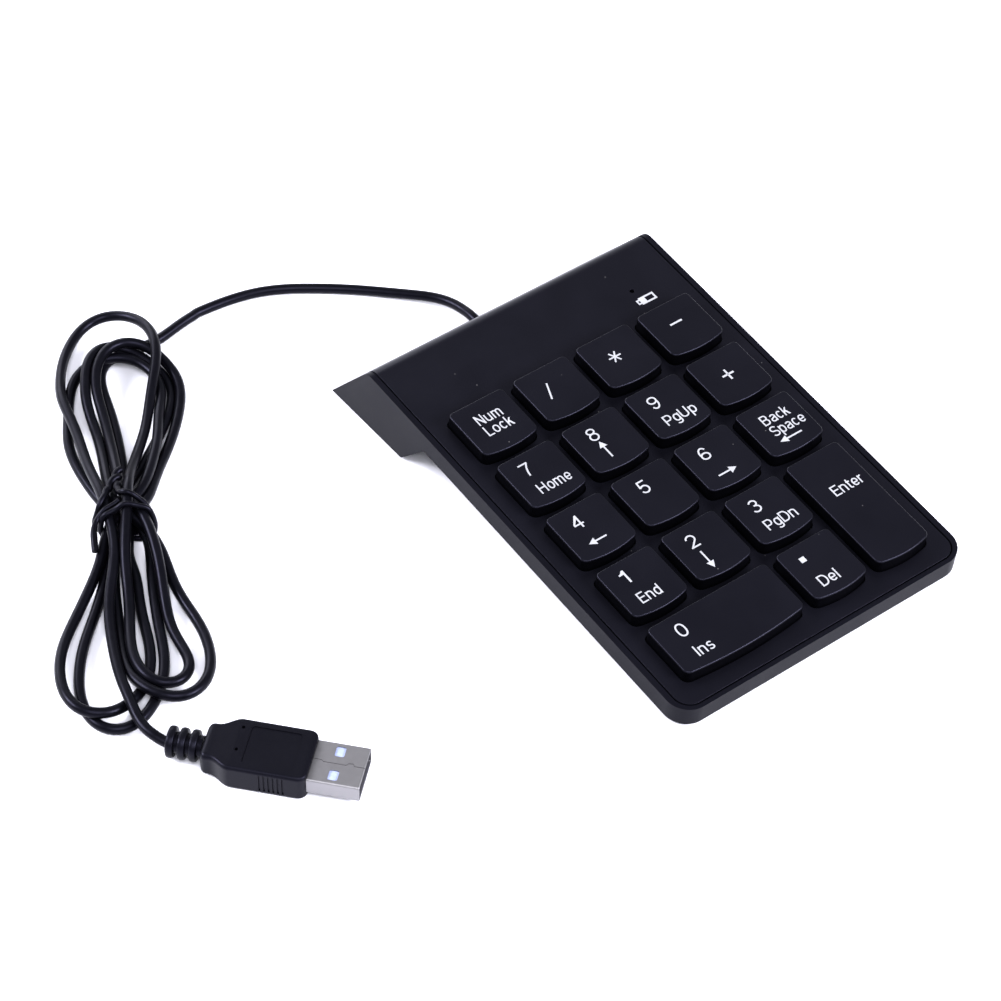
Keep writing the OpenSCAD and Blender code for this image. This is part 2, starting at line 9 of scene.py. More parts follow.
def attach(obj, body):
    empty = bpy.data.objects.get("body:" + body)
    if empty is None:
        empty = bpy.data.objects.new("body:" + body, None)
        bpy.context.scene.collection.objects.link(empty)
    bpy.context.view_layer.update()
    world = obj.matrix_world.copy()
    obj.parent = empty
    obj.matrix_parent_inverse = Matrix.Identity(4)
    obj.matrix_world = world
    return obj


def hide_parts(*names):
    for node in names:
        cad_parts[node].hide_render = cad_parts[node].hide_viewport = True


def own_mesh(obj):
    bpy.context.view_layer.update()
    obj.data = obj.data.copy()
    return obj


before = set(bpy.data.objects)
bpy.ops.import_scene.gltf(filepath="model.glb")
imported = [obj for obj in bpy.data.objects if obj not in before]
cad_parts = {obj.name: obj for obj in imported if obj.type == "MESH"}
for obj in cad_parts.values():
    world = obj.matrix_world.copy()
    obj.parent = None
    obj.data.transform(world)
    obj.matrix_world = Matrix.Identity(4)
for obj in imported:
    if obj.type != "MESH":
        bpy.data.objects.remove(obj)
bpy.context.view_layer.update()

MM = 0.001

# Sizes in millimetres, as in the CAD source.
CASE_W, DECK_L, DECK_H, TILT = 86, 121.7, 5.5, math.radians(5.8)
CORNER_R, INSET_R, RIM_SIDE, RIM_FRONT, GROOVE, ROLL_R = 6, 4.5, 1.5, 1.1, 0.4, 4
LEDGE, REAR_SEAM, REAR_LIP, CASE_WALL, CASE_FLOOR, COVER_T = 1.4, 13.8, 1.4, 1.4, 1, 1.3
FOOT_TOP_Y, FOOT_FRONT_Y, FOOT_BACK_Y, FEET_GAP = 97.4, 106.9, 135.8, 0.7
PITCH, KEY_W, KEY_BACK, KEY_FRONT, KEY_BOW, KEY_TOP = 19, 15.6, 7.7, -6.9, 1.2, 8.9
REAR_ROW_Y, SKIRT_Z, STEM_Z, ROOF_Z, COVER_Z, FLARE = 90.4, 4.8, 4.6, 7.7, 4.2, 0.1
CASE_Y0 = -(FOOT_BACK_Y - DECK_H * math.sin(TILT)) / 2
CORD_D, OUTLET = 2.6, (-1.5, 63.4, 4)
PLUG_AT, PLUG_HEADING, PLUG_W, PLUG_T = (-115.9, -28.7, 3.6), math.radians(-48.7), 14.8, 7.2
SHELL_W, SHELL_T, SHELL_L = 12, 4.5, 11.8
DECK_SCREWS = ((-1, 0), (1, 0), (-1, 2), (1, 2), (0, 3))
# Column and row of every key's middle; 0 is two columns wide and Enter two rows tall.
KEY_PLACES = {
    "num_lock": (0, 0), "divide": (1, 0), "multiply": (2, 0), "minus": (3, 0),
    "7": (0, 1), "8": (1, 1), "9": (2, 1), "plus": (3, 1),
    "4": (0, 2), "5": (1, 2), "6": (2, 2), "backspace": (3, 2),
    "1": (0, 3), "2": (1, 3), "3": (2, 3), "enter": (3, 3.5),
    "0": (0.5, 4), "point": (2, 4),
}

LEVEL = Matrix.Translation((0, CASE_Y0 * MM, FEET_GAP * MM)) @ Matrix.Scale(MM, 4)
DECK = LEVEL @ Matrix.Rotation(TILT, 4, "X")
PLUG = (Matrix.Translation(Vector(PLUG_AT) * MM) @ Matrix.Rotation(PLUG_HEADING, 4, "Z")
        @ Matrix.Scale(MM, 4))
WORLD = Matrix.Scale(MM, 4)


# ---- camera ----

CAMERA_AT = (-0.3699, -0.4204, 0.5769)
CAMERA_RIGHT, CAMERA_AHEAD = (0.7982, -0.6022, 0.0143), (0.4240, 0.5449, -0.7234)
LENS, SENSOR = 120, 36


def shown(name, data):
    """A new object in the scene."""
    obj = bpy.data.objects.new(name, data)
    bpy.context.scene.collection.objects.link(obj)
    return obj


def add_camera():
    data = bpy.data.cameras.new("camera")
    data.lens, data.sensor_width = LENS, SENSOR
    data.clip_start, data.clip_end = 0.01, 20
    camera = shown("camera", data)
    right = Vector(CAMERA_RIGHT).normalized()
    back = -Vector(CAMERA_AHEAD).normalized()
    up = back.cross(right).normalized()
    right = up.cross(back)
    turn = Matrix((right, up, back)).transposed().to_4x4()
    camera.matrix_world = Matrix.Translation(CAMERA_AT) @ turn
    bpy.context.scene.camera = camera


add_camera()


# ---- materials ----

class Nodes:
    """A small helper to write node materials."""

    def __init__(self, name):
        self.material = bpy.data.materials.new(name)
        self.material.use_nodes = True
        self.tree = self.material.node_tree
        self.tree.nodes.clear()
        self.out = self.tree.nodes.new("ShaderNodeOutputMaterial")
        self.shader = self.add("ShaderNodeBsdfPrincipled")
        self.link(self.shader, "BSDF", self.out, "Surface")
        self.place = self.add("ShaderNodeTexCoord")

    def add(self, kind, **values):
        node = self.tree.nodes.new(kind)
        for key, value in values.items():
            setattr(node, key, value)
        return node

    def link(self, a, out, b, into):
        self.tree.links.new(a.outputs[out], b.inputs[into])

    def set(self, node=None, **values):
        """Sets inputs of the shader, or of another node; a space is written as _."""
        for key, value in values.items():
            (node or self.shader).inputs[key.replace("_", " ")].default_value = value

    def noise(self, scale, detail=2.0, rough=0.5, stretch=None):
        node = self.add("ShaderNodeTexNoise")
        self.set(node, Scale=scale, Detail=detail, Roughness=rough)
        source, out = self.place, "Object"
        if stretch:
            mapping = self.add("ShaderNodeMapping")
            self.set(mapping, Scale=stretch[:3], Rotation=(0, 0, stretch[3]))
            self.link(source, out, mapping, "Vector")
            source, out = mapping, "Vector"
        self.link(source, out, node, "Vector")
        return node

    def ramp(self, source, low, high, start=0.35, end=0.65, out="Fac", into=None):
        """Goes from one colour to another along a texture, into an input of the shader."""
        node = self.add("ShaderNodeValToRGB")
        for stop, at, color in zip(node.color_ramp.elements, (start, end), (low, high)):
            stop.position, stop.color = at, color
        self.link(source, out, node, "Fac")
        if into:
            self.link(node, "Color", self.shader, into)
        return node

    def bumps(self, *layers):
        """Each layer is (node, output, strength, distance in metres)."""
        last = None
        for source, out, strength, distance in layers:
            bump = self.add("ShaderNodeBump")
            self.set(bump, Strength=strength, Distance=distance)
            self.link(source, out, bump, "Height")
            if last:
                self.link(last, "Normal", bump, "Normal")
            last = bump
        self.link(last, "Normal", self.shader, "Normal")


# The dark plastics lean to blue, in their colour and in their gloss.
BLUE, SHEEN = 1.55, (0.68, 0.67, 1.0, 1)
DUST_SCALE, DUST_COLOR = 190, (0.05, 0.048, 0.048, 1)


def grey(value):
    return (value, value, value * BLUE, 1)


def shade(color, scale=1):
    return (*[c * scale for c in color], 1)


def around(value, below, above):
    """Two greys for a ramp of roughness."""
    return (value - below,) * 3 + (1,), (value + above,) * 3 + (1,)


def moulded(name, tone, rough, grain=0.25, grain_size=0.22, dust=0.0, gloss=0.115):
    """Moulded plastic: a soft mottled tone, spark-eroded grain and a few specks of dust."""
    m = Nodes(name)
    cloud = m.noise(60, 3)
    tint = m.ramp(cloud, grey(tone * 0.9), grey(tone * 1.1))
    colour = tint.outputs["Color"]
    if dust:
        specks = m.add("ShaderNodeTexVoronoi")
        m.set(specks, Scale=DUST_SCALE)
        m.link(m.place, "Object", specks, "Vector")
        near = m.ramp(specks, (1, 1, 1, 1), (0, 0, 0, 1), 0.018, 0.04, out="Distance")
        rare = m.add("ShaderNodeSeparateColor")
        m.link(specks, "Color", rare, "Color")
        chosen = m.ramp(rare, (0, 0, 0, 1), (1, 1, 1, 1), 1 - dust, 1 - dust * 0.9, out="Red")
        both = m.add("ShaderNodeMath", operation="MULTIPLY")
        m.link(near, "Color", both, 0)
        m.link(chosen, "Color", both, 1)
        mix = m.add("ShaderNodeMix", data_type="RGBA")
        m.link(both, "Value", mix, "Factor")
        # Inputs 6 and 7 and output 2 are the colours of a Mix node.
        m.tree.links.new(colour, mix.inputs[6])
        mix.inputs[7].default_value = DUST_COLOR
        colour = mix.outputs[2]
    m.tree.links.new(colour, m.shader.inputs["Base Color"])
    fine = m.noise(1 / (grain_size * MM), 3, 0.6)
    m.ramp(cloud, *around(rough, 0.03, 0.03), into="Roughness")
    m.bumps((fine, "Fac", grain, 0.00003))
    m.set(Specular_IOR_Level=gloss, Specular_Tint=SHEEN)
    return m.material


def jacket(name, tone, rough):
    """Soft extruded cable jacket: satin, with faint long waves and a fine skin."""
    m = Nodes(name)
    cloud = m.noise(180, 2)
    m.ramp(cloud, grey(tone * 0.85), grey(tone * 1.15), into="Base Color")
    m.ramp(m.noise(700, 2), *around(rough, 0.04, 0.05), into="Roughness")
    m.bumps((m.noise(400, 1), "Fac", 0.1, 0.0001), (m.noise(6000, 2), "Fac", 0.12, 0.00002))
    m.set(Specular_IOR_Level=0.085, Specular_Tint=SHEEN)
    return m.material


def metal(name, color, rough, brush=0.1, turn=0.0):
    """Metal with fine streaks of brushing."""
    m = Nodes(name)
    streaks = m.noise(3500, 3, 0.6, (0.25, 1, 1, turn))
    m.ramp(streaks, shade(color, 0.95), shade(color), 0.3, 0.7, into="Base Color")
    m.ramp(streaks, *around(rough, 0.03, 0.03), into="Roughness")
    m.bumps((streaks, "Fac", brush, 0.00002))
    m.set(Metallic=1.0)
    return m.material


def plain(name, color, rough, scatter=0.0):
    """Small inner parts: a mottled tone with light grain."""
    m = Nodes(name)
    m.ramp(m.noise(350, 3), shade(color, 0.88), shade(color), into="Base Color")
    m.bumps((m.noise(3000, 2), "Fac", 0.15, 0.00003))
    m.set(Roughness=rough)
    if scatter:
        m.set(Subsurface_Weight=scatter, Subsurface_Radius=(0.001, 0.001, 0.001))
    return m.material


CASE_MAT = moulded("case_plastic", 0.0022, 0.38, 0.35, dust=0.5, gloss=0.05)
COVER_MAT = moulded("cover_plastic", 0.0019, 0.38, 0.35, dust=0.9)
KEY_MAT = moulded("key_plastic", 0.0019, 0.33, 0.25, dust=0.7, gloss=0.125)
# The key's skirts are the tops' own plastic, made darker and duller as painted shade on the key's
# sides.
SKIRT_SHADE_MAT = moulded("key_skirt_painted_shade", 0.0006, 0.36, 0.25, gloss=0.03)
PLUG_MAT = moulded("plug_plastic", 0.0016, 0.38, 0.5, 0.3, gloss=0.09)
CORD_MAT = jacket("cord_jacket", 0.0012, 0.32)
TIE_MAT = jacket("tie_coating", 0.001, 0.32)
LEGEND_MAT = plain("legend_ink", (0.27, 0.275, 0.285), 0.5)
NICKEL = metal("plug_nickel", (0.235, 0.23, 0.235), 0.44, 0.06, -PLUG_HEADING)
SILICONE = plain("silicone", (0.6, 0.6, 0.56), 0.45, 0.2)
INNER_MATS = {
    "key_guide": plain("guide_plastic", (0.018, 0.018, 0.02), 0.5),
    "membrane_upper": plain("film_upper", (0.62, 0.66, 0.62), 0.3),
    "membrane_spacer": plain("film_spacer", (0.66, 0.66, 0.6), 0.3),
    "membrane_lower": plain("film_lower", (0.6, 0.66, 0.62), 0.3),
    "support_plate": metal("plate_steel", (0.55, 0.56, 0.58), 0.35),
    "stabiliser_zero": metal("wire_steel", (0.6, 0.61, 0.62), 0.25),
    "controller_board": plain("board_green", (0.01, 0.09, 0.03), 0.3),
    "controller_chip": plain("chip_black", (0.01, 0.01, 0.01), 0.4),
    "board_parts": plain("component_tan", (0.35, 0.24, 0.12), 0.4),
    "status_led": plain("lamp_white", (0.7, 0.7, 0.6), 0.3),
    # The lamp's pipe: smoked plastic, made near black and glossless as painted shade in the hole
    # above it.
    "light_pipe": moulded("smoked_pipe_painted_shade", 0.0004, 0.6, gloss=0.0),
    "tail_clamp": plain("clamp_plastic", (0.03, 0.03, 0.03), 0.5),
    "cable_header": plain("connector_white", (0.7, 0.68, 0.6), 0.4),
    "board_screws": metal("screw_zinc", (0.6, 0.6, 0.6), 0.3),
    "case_screws": metal("screw_black", (0.05, 0.05, 0.055), 0.35),
    "rubber_feet": plain("foot_rubber", (0.012, 0.012, 0.012), 0.75),
    "header_wires": plain("wire_red", (0.3, 0.02, 0.015), 0.4),
    "cord_clamp": plain("cord_clamp_plastic", (0.025, 0.025, 0.025), 0.5),
    "plug_tongue": plain("tongue_plastic", (0.25, 0.29, 0.45), 0.35, 0.3),
    "plug_contacts": metal("contact_gold", (0.9, 0.66, 0.28), 0.25),
}
INNER_MATS["stabiliser_enter"] = INNER_MATS["stabiliser_zero"]
INNER_MATS["cable_inner"] = INNER_MATS["cable_grommet"] = CORD_MAT


# ---- mesh helpers ----

def arc(x, y, r, start, end, steps):
    """Points on an arc, its angles in degrees."""
    angles = [math.radians(start + (end - start) * i / steps) for i in range(steps + 1)]
    return [(x + r * math.cos(a), y + r * math.sin(a)) for a in angles]


def welded(mesh, distance, then=None):
    """Merges the points closer than a distance, then does one more step if there is one."""
    bm = bmesh.new()
    bm.from_mesh(mesh)
    bmesh.ops.remove_doubles(bm, verts=bm.verts, dist=distance)
    if then:
        then(bm)
    bm.to_mesh(mesh)
    bm.free()
    return mesh


def solid(verts, faces):
    """A mesh with its faces turned outwards."""
    mesh = bpy.data.meshes.new("shape")
    mesh.from_pydata([tuple(v) for v in verts], [], faces)
    return welded(mesh, 1e-6, lambda bm: bmesh.ops.recalc_face_normals(bm, faces=bm.faces))


def loft(rings):
    """A closed solid through rings of equally many 3D points."""
    n = len(rings[0])
    verts = [p for ring in rings for p in ring]
    faces = [[i * n + k, (i + 1) * n + k, (i + 1) * n + (k + 1) % n, i * n + (k + 1) % n]
             for i in range(len(rings) - 1) for k in range(n)]
    faces.append(list(range(n - 1, -1, -1)))
    faces.append([(len(rings) - 1) * n + k for k in range(n)])
    return solid(verts, faces)


def prism(outline, z0, z1):
    return loft([[(x, y, z0) for x, y in outline], [(x, y, z1) for x, y in outline]])


def side_prism(outline, width):
    """A prism along X from an outline given as (along the slope, square to the deck)."""
    return loft([[(x, y, z) for y, z in outline] for x in (-width / 2, width / 2)])


def block(x, y, z):
    return prism([(x[0], y[0]), (x[1], y[0]), (x[1], y[1]), (x[0], y[1])], z[0], z[1])


def rod(x, y, r, z0, z1, steps=48):
    return prism(arc(x, y, r, 0, 360 * (1 - 1 / steps), steps - 1), z0, z1)


def join(*meshes):
    bm = bmesh.new()
    for mesh in meshes:
        bm.from_mesh(mesh)
    joined = bpy.data.meshes.new("shape")
    bm.to_mesh(joined)
    bm.free()
    return joined


def made_mesh(obj):
    """What an object comes to, as a mesh."""
    bpy.context.view_layer.update()
    graph = bpy.context.evaluated_depsgraph_get()
    return bpy.data.meshes.new_from_object(obj.evaluated_get(graph), depsgraph=graph)


def evaluated(obj):
    """Applies an object's modifiers."""
    mesh = made_mesh(obj)
    obj.modifiers.clear()
    old, obj.data = obj.data, mesh
    bpy.data.meshes.remove(old)


def boolean(mesh, tool, operation="DIFFERENCE"):
    a, b = shown("a", mesh), shown("b", tool)
    mod = a.modifiers.new("cut", "BOOLEAN")
    mod.operation, mod.object, mod.solver = operation, b, "EXACT"
    evaluated(a)
    result = a.data
    bpy.data.objects.remove(b)
    bpy.data.objects.remove(a)
    return result


def union(meshes):
    whole = meshes[0]
    for mesh in meshes[1:]:
        whole = boolean(whole, mesh, "UNION")
    return whole


def tidy(mesh):
    """Merges slivers and flat faces after the booleans, so that the bevel runs clean."""
    return welded(mesh, 0.002, lambda bm: bmesh.ops.dissolve_limit(
        bm, angle_limit=math.radians(0.4), verts=bm.verts, edges=bm.edges))


def piece(name, mesh, matrix, material, body, bevel=0.0, sharp=32):
    """Places a mesh, rounds its edges and gives it its material and body. Sizes are in mm."""
    obj = shown(name, mesh)
    if bevel:
        mod = obj.modifiers.new("round", "BEVEL")
        mod.width, mod.segments, mod.limit_method = bevel, 3, "ANGLE"
        mod.angle_limit = math.radians(28)
        mod.use_clamp_overlap, mod.miter_outer = True, "MITER_ARC"
        evaluated(obj)
    obj.data.transform(matrix)
    obj.data.polygons.foreach_set("use_smooth", [True] * len(obj.data.polygons))
    obj.data.set_sharp_from_angle(angle=math.radians(sharp))
    mod = obj.modifiers.new("normals", "WEIGHTED_NORMAL")
    mod.keep_sharp, mod.weight = True, 90
    evaluated(obj)
    obj.data.name = name
    obj.data.materials.clear()
    obj.data.materials.append(material)
    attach(obj, body)
    return obj


def replacement(node):
    """The piece stands for a CAD node, which is hidden."""
    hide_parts(node)


# ---- lead ----

# Points in mm that the lead follows: to the hank, the turns of the hank, and on to the plug.
# A point without a height lies on the floor.
RUN_ROUTE = [
    (-1.5, 63.4, 4), (-1.5, 67, 4), (-1.5, 71, 3.4), (-1.9, 75.5, 2.3), (-3.7, 80, 1.5),
    (-7.5, 84), (-12.5, 89), (-18, 94.2), (-24, 99), (-30, 103.4), (-36, 106.8), (-42, 108.8),
    (-48, 109.8), (-54, 110.3), (-60, 110.5),
]
HANK_ROUTE = [
    (-69, 109.5), (-75, 112.5), (-81, 112.5), (-85, 107.5), (-90, 95), (-95.5, 81.5),
    (-101.5, 69), (-104, 63), (-109.5, 55.5), (-112.5, 48), (-119.5, 35.5), (-125.5, 22.5),
    (-131.5, 15.5), (-138, 13), (-144.5, 11.5, 3.4), (-147.5, 16, 1.6), (-148, 22.5),
    (-142.5, 33), (-131.6, 42), (-120, 51.2), (-113.2, 58.8), (-109.5, 61.5, 3.1),
    (-104, 62, 3.7), (-98.5, 66, 3.6), (-88.5, 76, 3.5), (-82.5, 84.5, 2.2), (-76.5, 92),
    (-75, 99), (-77, 106), (-86, 110), (-93, 107), (-101.5, 96), (-105, 90.5), (-108.5, 76.5),
    (-109.5, 64), (-107, 57.5), (-108.5, 51.5), (-113, 42.5), (-119, 29.5), (-125, 17),
    (-134, 9.5), (-140, 8), (-144.5, 11), (-145, 20), (-138, 32), (-127.6, 41.6), (-117.2, 51.9),
    (-111, 58.2), (-107, 62.4), (-102.5, 65.5, 3.3), (-97.5, 70), (-86, 79), (-75.5, 89),
    (-73.5, 95), (-74.5, 103), (-77, 109), (-82.5, 110, 3.4), (-87.5, 108, 3.4),
    (-91, 103.5, 2.3), (-94.5, 98), (-99.5, 85), (-105.5, 72), (-109, 63.5, 3.8),
    (-109.5, 58.5, 4.9), (-106.5, 53.5, 3), (-106.5, 48), (-110.5, 34.5), (-112.5, 20.5),
    (-116.5, 11), (-121, 6.5), (-127, 6), (-132, 9.5, 3.1), (-133.5, 14.5, 3.4), (-132, 21.5),
    (-126.5, 34.5), (-120, 46.5), (-113, 55.5, 1.5), (-108, 59, 3.2), (-102, 61, 1.7),
    (-96.5, 67), (-86, 76.6), (-77.4, 86.6), (-73.6, 93), (-72.8, 100.5), (-74, 106.8, 2.4),
    (-78.5, 109.5, 3.1), (-85, 108, 3.6), (-89, 103.5), (-94.5, 90.5), (-100, 77.5),
    (-105.5, 66.5, 3.9), (-107, 61.5, 5.4), (-107, 55, 5.8), (-108, 49.5, 3.5),
    (-110.5, 42.5, 2.7), (-113, 37), (-118.6, 25.5, 2), (-121.1, 16.8, 3), (-122.3, 11.5, 3.4),
    (-126.2, 8.4, 3.4), (-130.7, 9.6, 3.4), (-133, 14.4, 3.5), (-131.9, 20, 3.4), (-129.1, 26, 2),
    (-122, 37), (-115, 48.5), (-112, 53, 3.3), (-109.5, 56, 6.3), (-105.5, 62, 7),
    (-97, 72.5, 2.5), (-87.5, 82.5), (-79, 93, 1.5), (-75, 97.5, 3.7), (-70.5, 106, 3.2),
    (-69.5, 111.5, 2.8), (-70, 117.5), (-74.5, 122), (-81, 122), (-91.5, 114.5),
    (-98.5, 103.5, 1.4), (-101, 97, 3.5), (-101.5, 92, 1.5), (-105.5, 78.5), (-108.4, 68, 3.5),
    (-111.2, 60.4, 4), (-115.8, 50.6, 3.5), (-125, 39.4, 1.7), (-131.6, 27.6), (-137, 15, 2.8),
    (-138.5, 8.5, 3.6),
]
TAIL_ROUTE = [
    (-140.2, 4.4, 3.4), (-140.1, 0.9, 3.5), (-139.3, -1.6, 3.6), (-138.2, -3.2, 3.6),
    (-137.3, -4.3, 3.6),
]


def blend(a, b, start, end, t):
    return ((end - t) * a + (t - start) * b) / (end - start)


def through(points, step):
    """A centripetal Catmull-Rom curve through the points, at even steps."""
    p = np.array([points[0]] + list(points) + [points[-1]], float)
    p[0] += (p[1] - p[2]) * 0.1
    p[-1] += (p[-2] - p[-3]) * 0.1
    out = []
    for i in range(1, len(p) - 2):
        gaps = [max(np.linalg.norm(p[k + 1] - p[k]), 1e-3) ** 0.5 for k in (i - 1, i, i + 1)]
        knots = (0, gaps[0], gaps[0] + gaps[1], sum(gaps))
        for t in np.linspace(*knots[1:3], 16, endpoint=False):
            a = [blend(p[i + k - 1], p[i + k], *knots[k:k + 2], t) for k in range(3)]
            b = [blend(a[k], a[k + 1], knots[k], knots[k + 2], t) for k in range(2)]
            out.append(blend(*b, *knots[1:3], t))
    out.append(p[-2])
    out = np.array(out)
    s = np.concatenate([[0], np.cumsum(np.linalg.norm(np.diff(out, axis=0), axis=1))])
    even = np.linspace(0, s[-1], int(s[-1] / step) + 1)
    return np.stack([np.interp(even, s, out[:, k]) for k in range(3)], 1)


# The tie's middle, the hank's direction there, and how far the tie lifts the lead, in mm.
TIE_AT, HANK_WAY = np.array((-110.0, 57.0)), np.array((0.46, 0.888))
TIE_LIFT, TIE_REACH, HANK_REACH = 1.1, 3.5, 13
# A strand that rises moves along this slant in plan, for each mm of height.
SLANT = np.array((0.586, 0.753))
LEAD_STEP, SETTLE_ROUNDS, HOLD_FIRST, HOLD_LAST = 1.25, 400, 64, 3


def lowest(x):
    """Floor height for the lead's centre, which rides over the tie under the hank."""
    off = x[:, :2] - TIE_AT
    near = np.exp(-(off @ HANK_WAY / TIE_REACH) ** 2) * (np.linalg.norm(off, axis=1) < HANK_REACH)
    return CORD_D / 2 + TIE_LIFT * near


def stiffener(n, stiff):
    """The linear step that evens a row of numbers out as a bending rod would."""
    second = np.zeros((n - 2, n))
    k = np.arange(n - 2)
    second[k, k], second[k, k + 1], second[k, k + 2] = 1, -2, 1
    return np.linalg.inv(np.eye(n) + stiff * second.T @ second)


def settle(path, rounds):
    """Lays the turns on each other. A point that rises or sinks moves along one slant, so each
    strand keeps its course, and what it moves by is evened out as a bending lead would."""
    n, d = len(path), CORD_D * 1.01
    even, firm = stiffener(n, 40.0), stiffener(n, 60.0)
    ids = np.arange(n)
    apart = ids[None, :] - ids[:, None] > 6  # nearer points are the same strand
    home_z = path[:, 2].copy()
    drawn = path[:, :2] + np.outer(home_z, SLANT)
    home = even @ drawn
    home[:3] = drawn[:3]
    u, z = home.copy(), even @ home_z
    x = np.empty_like(path)
    for turn in range(rounds):
        x[:, :2], x[:, 2] = u - np.outer(z, SLANT), z
        if turn % 8 == 0:
            flat = ((x[:, None, :2] - x[None, :, :2]) ** 2).sum(2)
            i, j = np.where(apart & (flat < (d + 1.5) ** 2))
            above = np.sign(home_z[i] - home_z[j]) * (abs(home_z[i] - home_z[j]) > 0.4)
        gap = x[i] - x[j]
        size = np.linalg.norm(gap, axis=1) + 1e-9
        hit = size < d
        way = gap[hit] / size[hit][:, None]
        way[:, 2] += np.where(above[hit] != 0, 0.8 * above[hit], -0.35)
        way /= np.linalg.norm(way, axis=1)[:, None]
        push = 0.35 * (d - size[hit])[:, None] * way
        move = np.zeros_like(x)
        np.add.at(move, i[hit], push)
        np.add.at(move, j[hit], -push)
        move = np.clip(move, -0.5, 0.5)
        sink = 0.02 if turn <= rounds * 0.8 else 0.0
        z = z + move[:, 2] - sink
        u = u + 0.5 * (move[:, :2] + np.outer(move[:, 2], SLANT))
        z = even @ z
        z = np.maximum(z, lowest(x))
        u = home + 0.995 * (firm @ (u - home))
        z[:4], z[-HOLD_LAST:] = home_z[:4], home_z[-HOLD_LAST:]
        u[:HOLD_FIRST], u[-HOLD_LAST:] = home[:HOLD_FIRST], home[-HOLD_LAST:]
    x[:, :2], x[:, 2] = u - np.outer(z, SLANT), z
    return x


def round_wire(name, strands, d, sides, widths=None):
    """A curve of round section along each strand; widths scale it point by point."""
    data = bpy.data.curves.new(name, "CURVE")
    data.dimensions, data.bevel_depth, data.bevel_resolution = "3D", d / 2, sides // 2
    data.use_fill_caps = True
    for i, strand in enumerate(strands):
        spline = data.splines.new("POLY")
        spline.points.add(len(strand) - 1)
        for k, point in enumerate(spline.points):
            point.co = (*strand[k], 1)
            if widths:
                point.radius = widths[i][k]
        spline.use_smooth = True
    return shown(name, data)


lead_route = [(*point, CORD_D / 2)[:3] for point in RUN_ROUTE + HANK_ROUTE + TAIL_ROUTE]
lead_path = settle(through(lead_route, LEAD_STEP), SETTLE_ROUNDS)
lead = round_wire("lead", [lead_path * MM], CORD_D * MM, 12)
lead.data.materials.append(CORD_MAT)
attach(lead, "case")
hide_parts("cable_run", "cable_hank", "cable_tail")


# ---- case ----

def to_deck(y, z):
    """A point given level, in the deck's own frame."""
    c, s = math.cos(TILT), math.sin(TILT)
    return np.array((y * c + z * s, z * c - y * s))


rear_top = np.array((DECK_L, DECK_H))
rear_foot = to_deck(FOOT_BACK_Y, 0)
rear_dir = (rear_foot - rear_top) / np.linalg.norm(rear_foot - rear_top)
rear_out = np.array((-rear_dir[1], rear_dir[0]))
rear_fall = -math.degrees(math.atan2(rear_dir[1], rear_dir[0]))
roll_back = ROLL_R * math.tan(math.radians(rear_fall / 2))
roll = arc(DECK_L - roll_back, DECK_H - ROLL_R, ROLL_R, 90, 90 - rear_fall, 18)
seam_out = rear_top + rear_dir * REAR_SEAM
seam_in = seam_out - rear_out * REAR_LIP
inner_y = DECK_L + (-REAR_LIP + COVER_T * rear_out[1]) / rear_out[0]


def plan(w, y0, y1, r):
    """Outline from above, with its two front corners rounded."""
    return (arc(-w / 2 + r, y0 + r, r, 180, 270, 14) + arc(w / 2 - r, y0 + r, r, 270, 360, 14)
            + [(w / 2, y1), (-w / 2, y1)])


def level_tool(mesh):
    """Turns a tool that was placed level on the floor into the deck's own frame."""
    mesh.transform(Matrix.Rotation(-TILT, 4, "X") @ Matrix.Translation((0, -CASE_Y0, -FEET_GAP)))
    return mesh


def key_at(col, row):
    return (col - 1.5) * PITCH, REAR_ROW_Y - row * PITCH


def screw_at(col, row):
    """The deck's screws stand between the keys."""
    return col * PITCH, REAR_ROW_Y - row * PITCH - 9.4


def build_case():
    """The lower case, hollow, with a bed for the key plate and the wedge of the rear foot."""
    side = ([(0, 0), tuple(to_deck(FOOT_TOP_Y, FOOT_TOP_Y * math.tan(TILT))),
             tuple(to_deck(FOOT_FRONT_Y, 0)), tuple(rear_foot)] + roll[::-1] + [(0, DECK_H)])
    shell = boolean(side_prism(side, CASE_W), prism(plan(CASE_W, 0, 150, CORNER_R), -30, 7),
                    "INTERSECT")
    opening = [(RIM_FRONT, COVER_Z), (inner_y, COVER_Z), tuple(seam_in),
               tuple(seam_out + rear_out * 3), (DECK_L + 9, DECK_H + 3), (RIM_FRONT, DECK_H + 3)]
    bed = boolean(side_prism(opening, CASE_W - 2 * RIM_SIDE),
                  prism(plan(CASE_W - 2 * RIM_SIDE, RIM_FRONT, 150, INSET_R), -30, 10),
                  "INTERSECT")
    shell = boolean(shell, bed)
    hollow = [(RIM_FRONT + LEDGE + 0.1, CASE_FLOOR), (FOOT_TOP_Y + 2.4, CASE_FLOOR),
              tuple(to_deck(FOOT_FRONT_Y + 1, CASE_WALL)),
              tuple(to_deck(FOOT_BACK_Y - 3.3, CASE_WALL)),
              tuple(seam_in + rear_dir - rear_out * 0.2),
              (inner_y - 0.4, COVER_Z + 0.1), (RIM_FRONT + LEDGE + 0.1, COVER_Z + 0.1)]
    shell = boolean(shell, side_prism(hollow, CASE_W - 2 * (RIM_SIDE + LEDGE)))
    outlet = rod(0, 0, 2.1, -7, 7)
    outlet.transform(Matrix.Translation(OUTLET) @ Matrix.Rotation(math.radians(90), 4, "X"))
    tools = [level_tool(outlet)]
    for side in (-1, 1):
        # Recesses for a front foot and a rear foot, and a screw's bore in the wedge.
        tools.append(level_tool(rod(side * 34, CASE_Y0 + 8, 3.1, -1, FEET_GAP + 1.15)))
        tools.append(level_tool(rod(side * 34, CASE_Y0 + 121, 3.1, -1, FEET_GAP + 0.5)))
        tools.append(rod(side * 35, 112, 1.9, -16, -2))
    tools += [rod(*screw_at(col, row), 1.8, -1, 0.6) for col, row in DECK_SCREWS]
    for tool in tools:
        shell = boolean(shell, tool)
    return tidy(shell)


